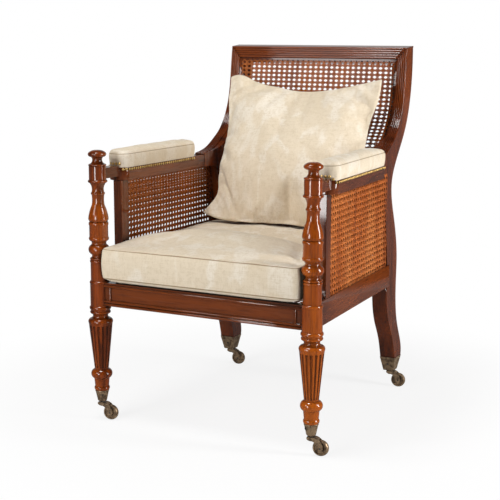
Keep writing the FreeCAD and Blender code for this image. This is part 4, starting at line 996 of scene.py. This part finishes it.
def arm_cover(side):
    """Stuffed arm pad: hem held under the nails, a seam below the crown and a rounded front."""
    sign = SIDES[side]
    outline = arm_outline()
    forward = np.linspace(SPINE_BACK, SPINE_FRONT, ALONG + 1)
    along = np.r_[forward[:-1], np.full(2 * ROUND, SPINE_FRONT),
                  forward[:0:-1], np.full(BEHIND, SPINE_BACK)]
    spine = np.stack((np.full(len(outline), (ARM_IN + ARM_OUT) / 2), along), axis=1)
    arched = over_neck(*outline.T)
    points, faces, belts = [], [], []
    count = len(outline)
    for inset, z in PAD_RINGS:
        belts.append(list(range(len(points), len(points) + count)))
        drawn_in = arched & (z < NAIL_ARCH)
        shares = np.where(drawn_in, max(inset, NECK_INSET), inset)[:, None]
        points.extend((x, y, z) for x, y in outline * (1 - shares) + spine * shares)
    centre = len(points)
    points.extend((x, y, PAD_TOP + 0.4) for x, y in spine)
    points.extend((x, y, PAD_LOW) for x, y in spine)
    crown = list(range(centre, centre + count))
    sole = list(range(centre + count, centre + 2 * count))
    for lower, upper in zip([sole] + belts, belts + [crown]):
        for a in range(count):
            b = (a + 1) % count
            faces.append((lower[a], lower[b], upper[b], upper[a]))
    local = np.array(points)
    turn, slip = math.cos(SPLAY), math.sin(SPLAY)
    x = POST[0] + local[:, 0] * turn - local[:, 1] * slip
    y = POST[1] + local[:, 0] * slip + local[:, 1] * turn
    placed = np.stack((sign * x, y, local[:, 2]), axis=1) * MM
    mesh = make_mesh(f"arm_cover_{side}", placed, faces)
    sewn = bmesh.new()
    sewn.from_mesh(mesh)
    bmesh.ops.remove_doubles(sewn, verts=sewn.verts, dist=0.05 * MM)
    bmesh.ops.recalc_face_normals(sewn, faces=sewn.faces)
    sewn.to_mesh(mesh)
    sewn.free()
    item = piece(f"arm_pad_cover_{side}", mesh, damask, "frame",
                 (f"arm_pad_{side}",))
    spots = points_of(mesh) / MM
    heights = spots[:, 2]
    aside, ahead = sign * spots[:, 0] - POST[0], spots[:, 1] - POST[1]
    at_neck = over_neck(aside * turn + ahead * slip, ahead * turn - aside * slip)
    nailed = (at_neck & (heights < NAIL_ARCH)) | (heights < PAD_HEM + 0.5)
    on_seam = abs(heights - PAD_SEAM) < 0.2
    swollen(item, np.nonzero(nailed | on_seam)[0].tolist(), pressure=2.5, cap=0.002, frames=14)
    mark_sewn(item.data, np.nonzero(on_seam)[0].tolist())
    shaped = points_of(item.data)
    on_crown = shaped[:, 2] > (PAD_SEAM + 5) * MM
    shaped[:, 2] += np.where(on_crown, wrinkle(shaped, 22, 0.0018, 4), 0)
    put(item.data, shaped)
    subdivided(item)


seat_cover()
pillow_cover()
for side in SIDES:
    arm_cover(side)


# Room: pale floor, white surround and four soft lights

TOWARD_SURROUND, MIRRORED_SURROUND = (-0.463, 0.886, 0), 0.4
FLOOR_LEVEL, FLOOR_SHEEN, FLOOR_NEAR = -0.0005, 0.15, 0.85
EYE, LOOK_AT, LENS = (1.46933, -2.89289, 1.01110), (-0.0118, -0.06, 0.4260), 88.546
# Name, place, target, width, height and watts: a tall one at the right, a low one in front, one
# that the back's top mirrors, and one overhead
LAMPS = (
    ("right_box", (2.3, 0.15, 1.0), (0, -0.1, 0.5), 0.4, 1.8, 50),
    ("left_box", (-0.3, -2.5, 0.6), (0, -0.1, 0.5), 0.5, 0.8, 18),
    ("upper_box", (-1.05, -2.1, 1.35), (0, 0.3, 0.9), 0.6, 0.75, 9),
    ("top_box", (-0.4, -0.75, 2.7), (0, 0, 0.4), 0.6, 0.6, 35),
)


def backdrop():
    """Floor that is white where it is looked at, a little darker near the chair."""
    bpy.ops.mesh.primitive_plane_add(size=30, location=(0, 0, FLOOR_LEVEL))
    floor = bpy.context.object
    floor.name = "floor"
    material = bpy.data.materials.new("pale_floor")
    material.use_nodes = True
    tree = material.node_tree
    shader = tree.nodes["Principled BSDF"]
    shader.inputs["Base Color"].default_value = (0.9, 0.9, 0.9, 1)
    shader.inputs["Roughness"].default_value = 0.9
    shader.inputs["Specular IOR Level"].default_value = 0.0
    rays = add(tree, "ShaderNodeLightPath").outputs
    mirrored = sums(tree, "MULTIPLY", rays["Is Glossy Ray"], FLOOR_SHEEN)
    level = sums(tree, "ADD", rays["Is Camera Ray"], mirrored)
    white = add(tree, "ShaderNodeEmission", {"Color": (1, 1, 1, 1), "Strength": level})
    from_chair = add(tree, "ShaderNodeVectorMath", operation="LENGTH")
    tree.links.new(add(tree, "ShaderNodeTexCoord").outputs["Object"], from_chair.inputs[0])
    away = between(tree, from_chair.outputs["Value"], 0.4, 1.1)
    plain = sums(tree, "MULTIPLY_ADD", away, 1 - FLOOR_NEAR, FLOOR_NEAR)
    looked_at = sums(tree, "MULTIPLY", rays["Is Camera Ray"], plain)
    seen = sums(tree, "ADD", rays["Is Glossy Ray"], looked_at)
    mixed = add(tree, "ShaderNodeMixShader", {0: seen, 1: shader.outputs[0], 2: white.outputs[0]})
    tree.links.new(mixed.outputs[0], tree.nodes["Material Output"].inputs[0])
    floor.data.materials.append(material)


def sky(strength, dim):
    """White surround where it is looked at, soft light elsewhere; dim is how bright it is
    mirrored, apart from the part that faces the camera."""
    world = bpy.data.worlds.new("studio")
    scene.world = world
    world.use_nodes = True
    tree = world.node_tree
    base = tree.nodes["Background"]
    rays = add(tree, "ShaderNodeLightPath").outputs
    way = add(tree, "ShaderNodeVectorMath", operation="DOT_PRODUCT")
    tree.links.new(add(tree, "ShaderNodeTexCoord").outputs["Generated"], way.inputs[0])
    way.inputs[1].default_value = TOWARD_SURROUND
    behind = between(tree, way.outputs["Value"], 0.6, 1.0)
    mirrored = sums(tree, "MULTIPLY_ADD", behind, MIRRORED_SURROUND - dim, dim)
    change = sums(tree, "SUBTRACT", mirrored, strength)
    glossy = sums(tree, "MULTIPLY", rays["Is Glossy Ray"], change)
    seen = sums(tree, "MAXIMUM", rays["Is Camera Ray"], rays["Is Transmission Ray"])
    light = sums(tree, "MULTIPLY_ADD", seen, 1.0 - strength, strength)
    level = sums(tree, "ADD", light, glossy)
    base.inputs["Color"].default_value = (1, 1, 1, 1)
    tree.links.new(level, base.inputs["Strength"])


def aimed(item, place, target):
    """Puts a lamp or camera in the scene and points it at a target."""
    scene.collection.objects.link(item)
    item.location = place
    item.rotation_euler = (Vector(target) - Vector(place)).to_track_quat("-Z", "Y").to_euler()


def softbox(name, place, target, width, height, power):
    lamp = bpy.data.lights.new(name, "AREA")
    lamp.shape = "RECTANGLE"
    lamp.size, lamp.size_y, lamp.energy = width, height, power
    aimed(bpy.data.objects.new(name, lamp), place, target)


def camera():
    eye = bpy.data.cameras.new("photo_view")
    eye.sensor_fit = "HORIZONTAL"
    eye.sensor_width = 36
    eye.lens = LENS
    item = bpy.data.objects.new("photo_view", eye)
    aimed(item, EYE, LOOK_AT)
    scene.camera = item


backdrop()
sky(strength=0.07, dim=0.02)
for lamp in LAMPS:
    softbox(*lamp)
camera()
scene.view_settings.view_transform = "Standard"
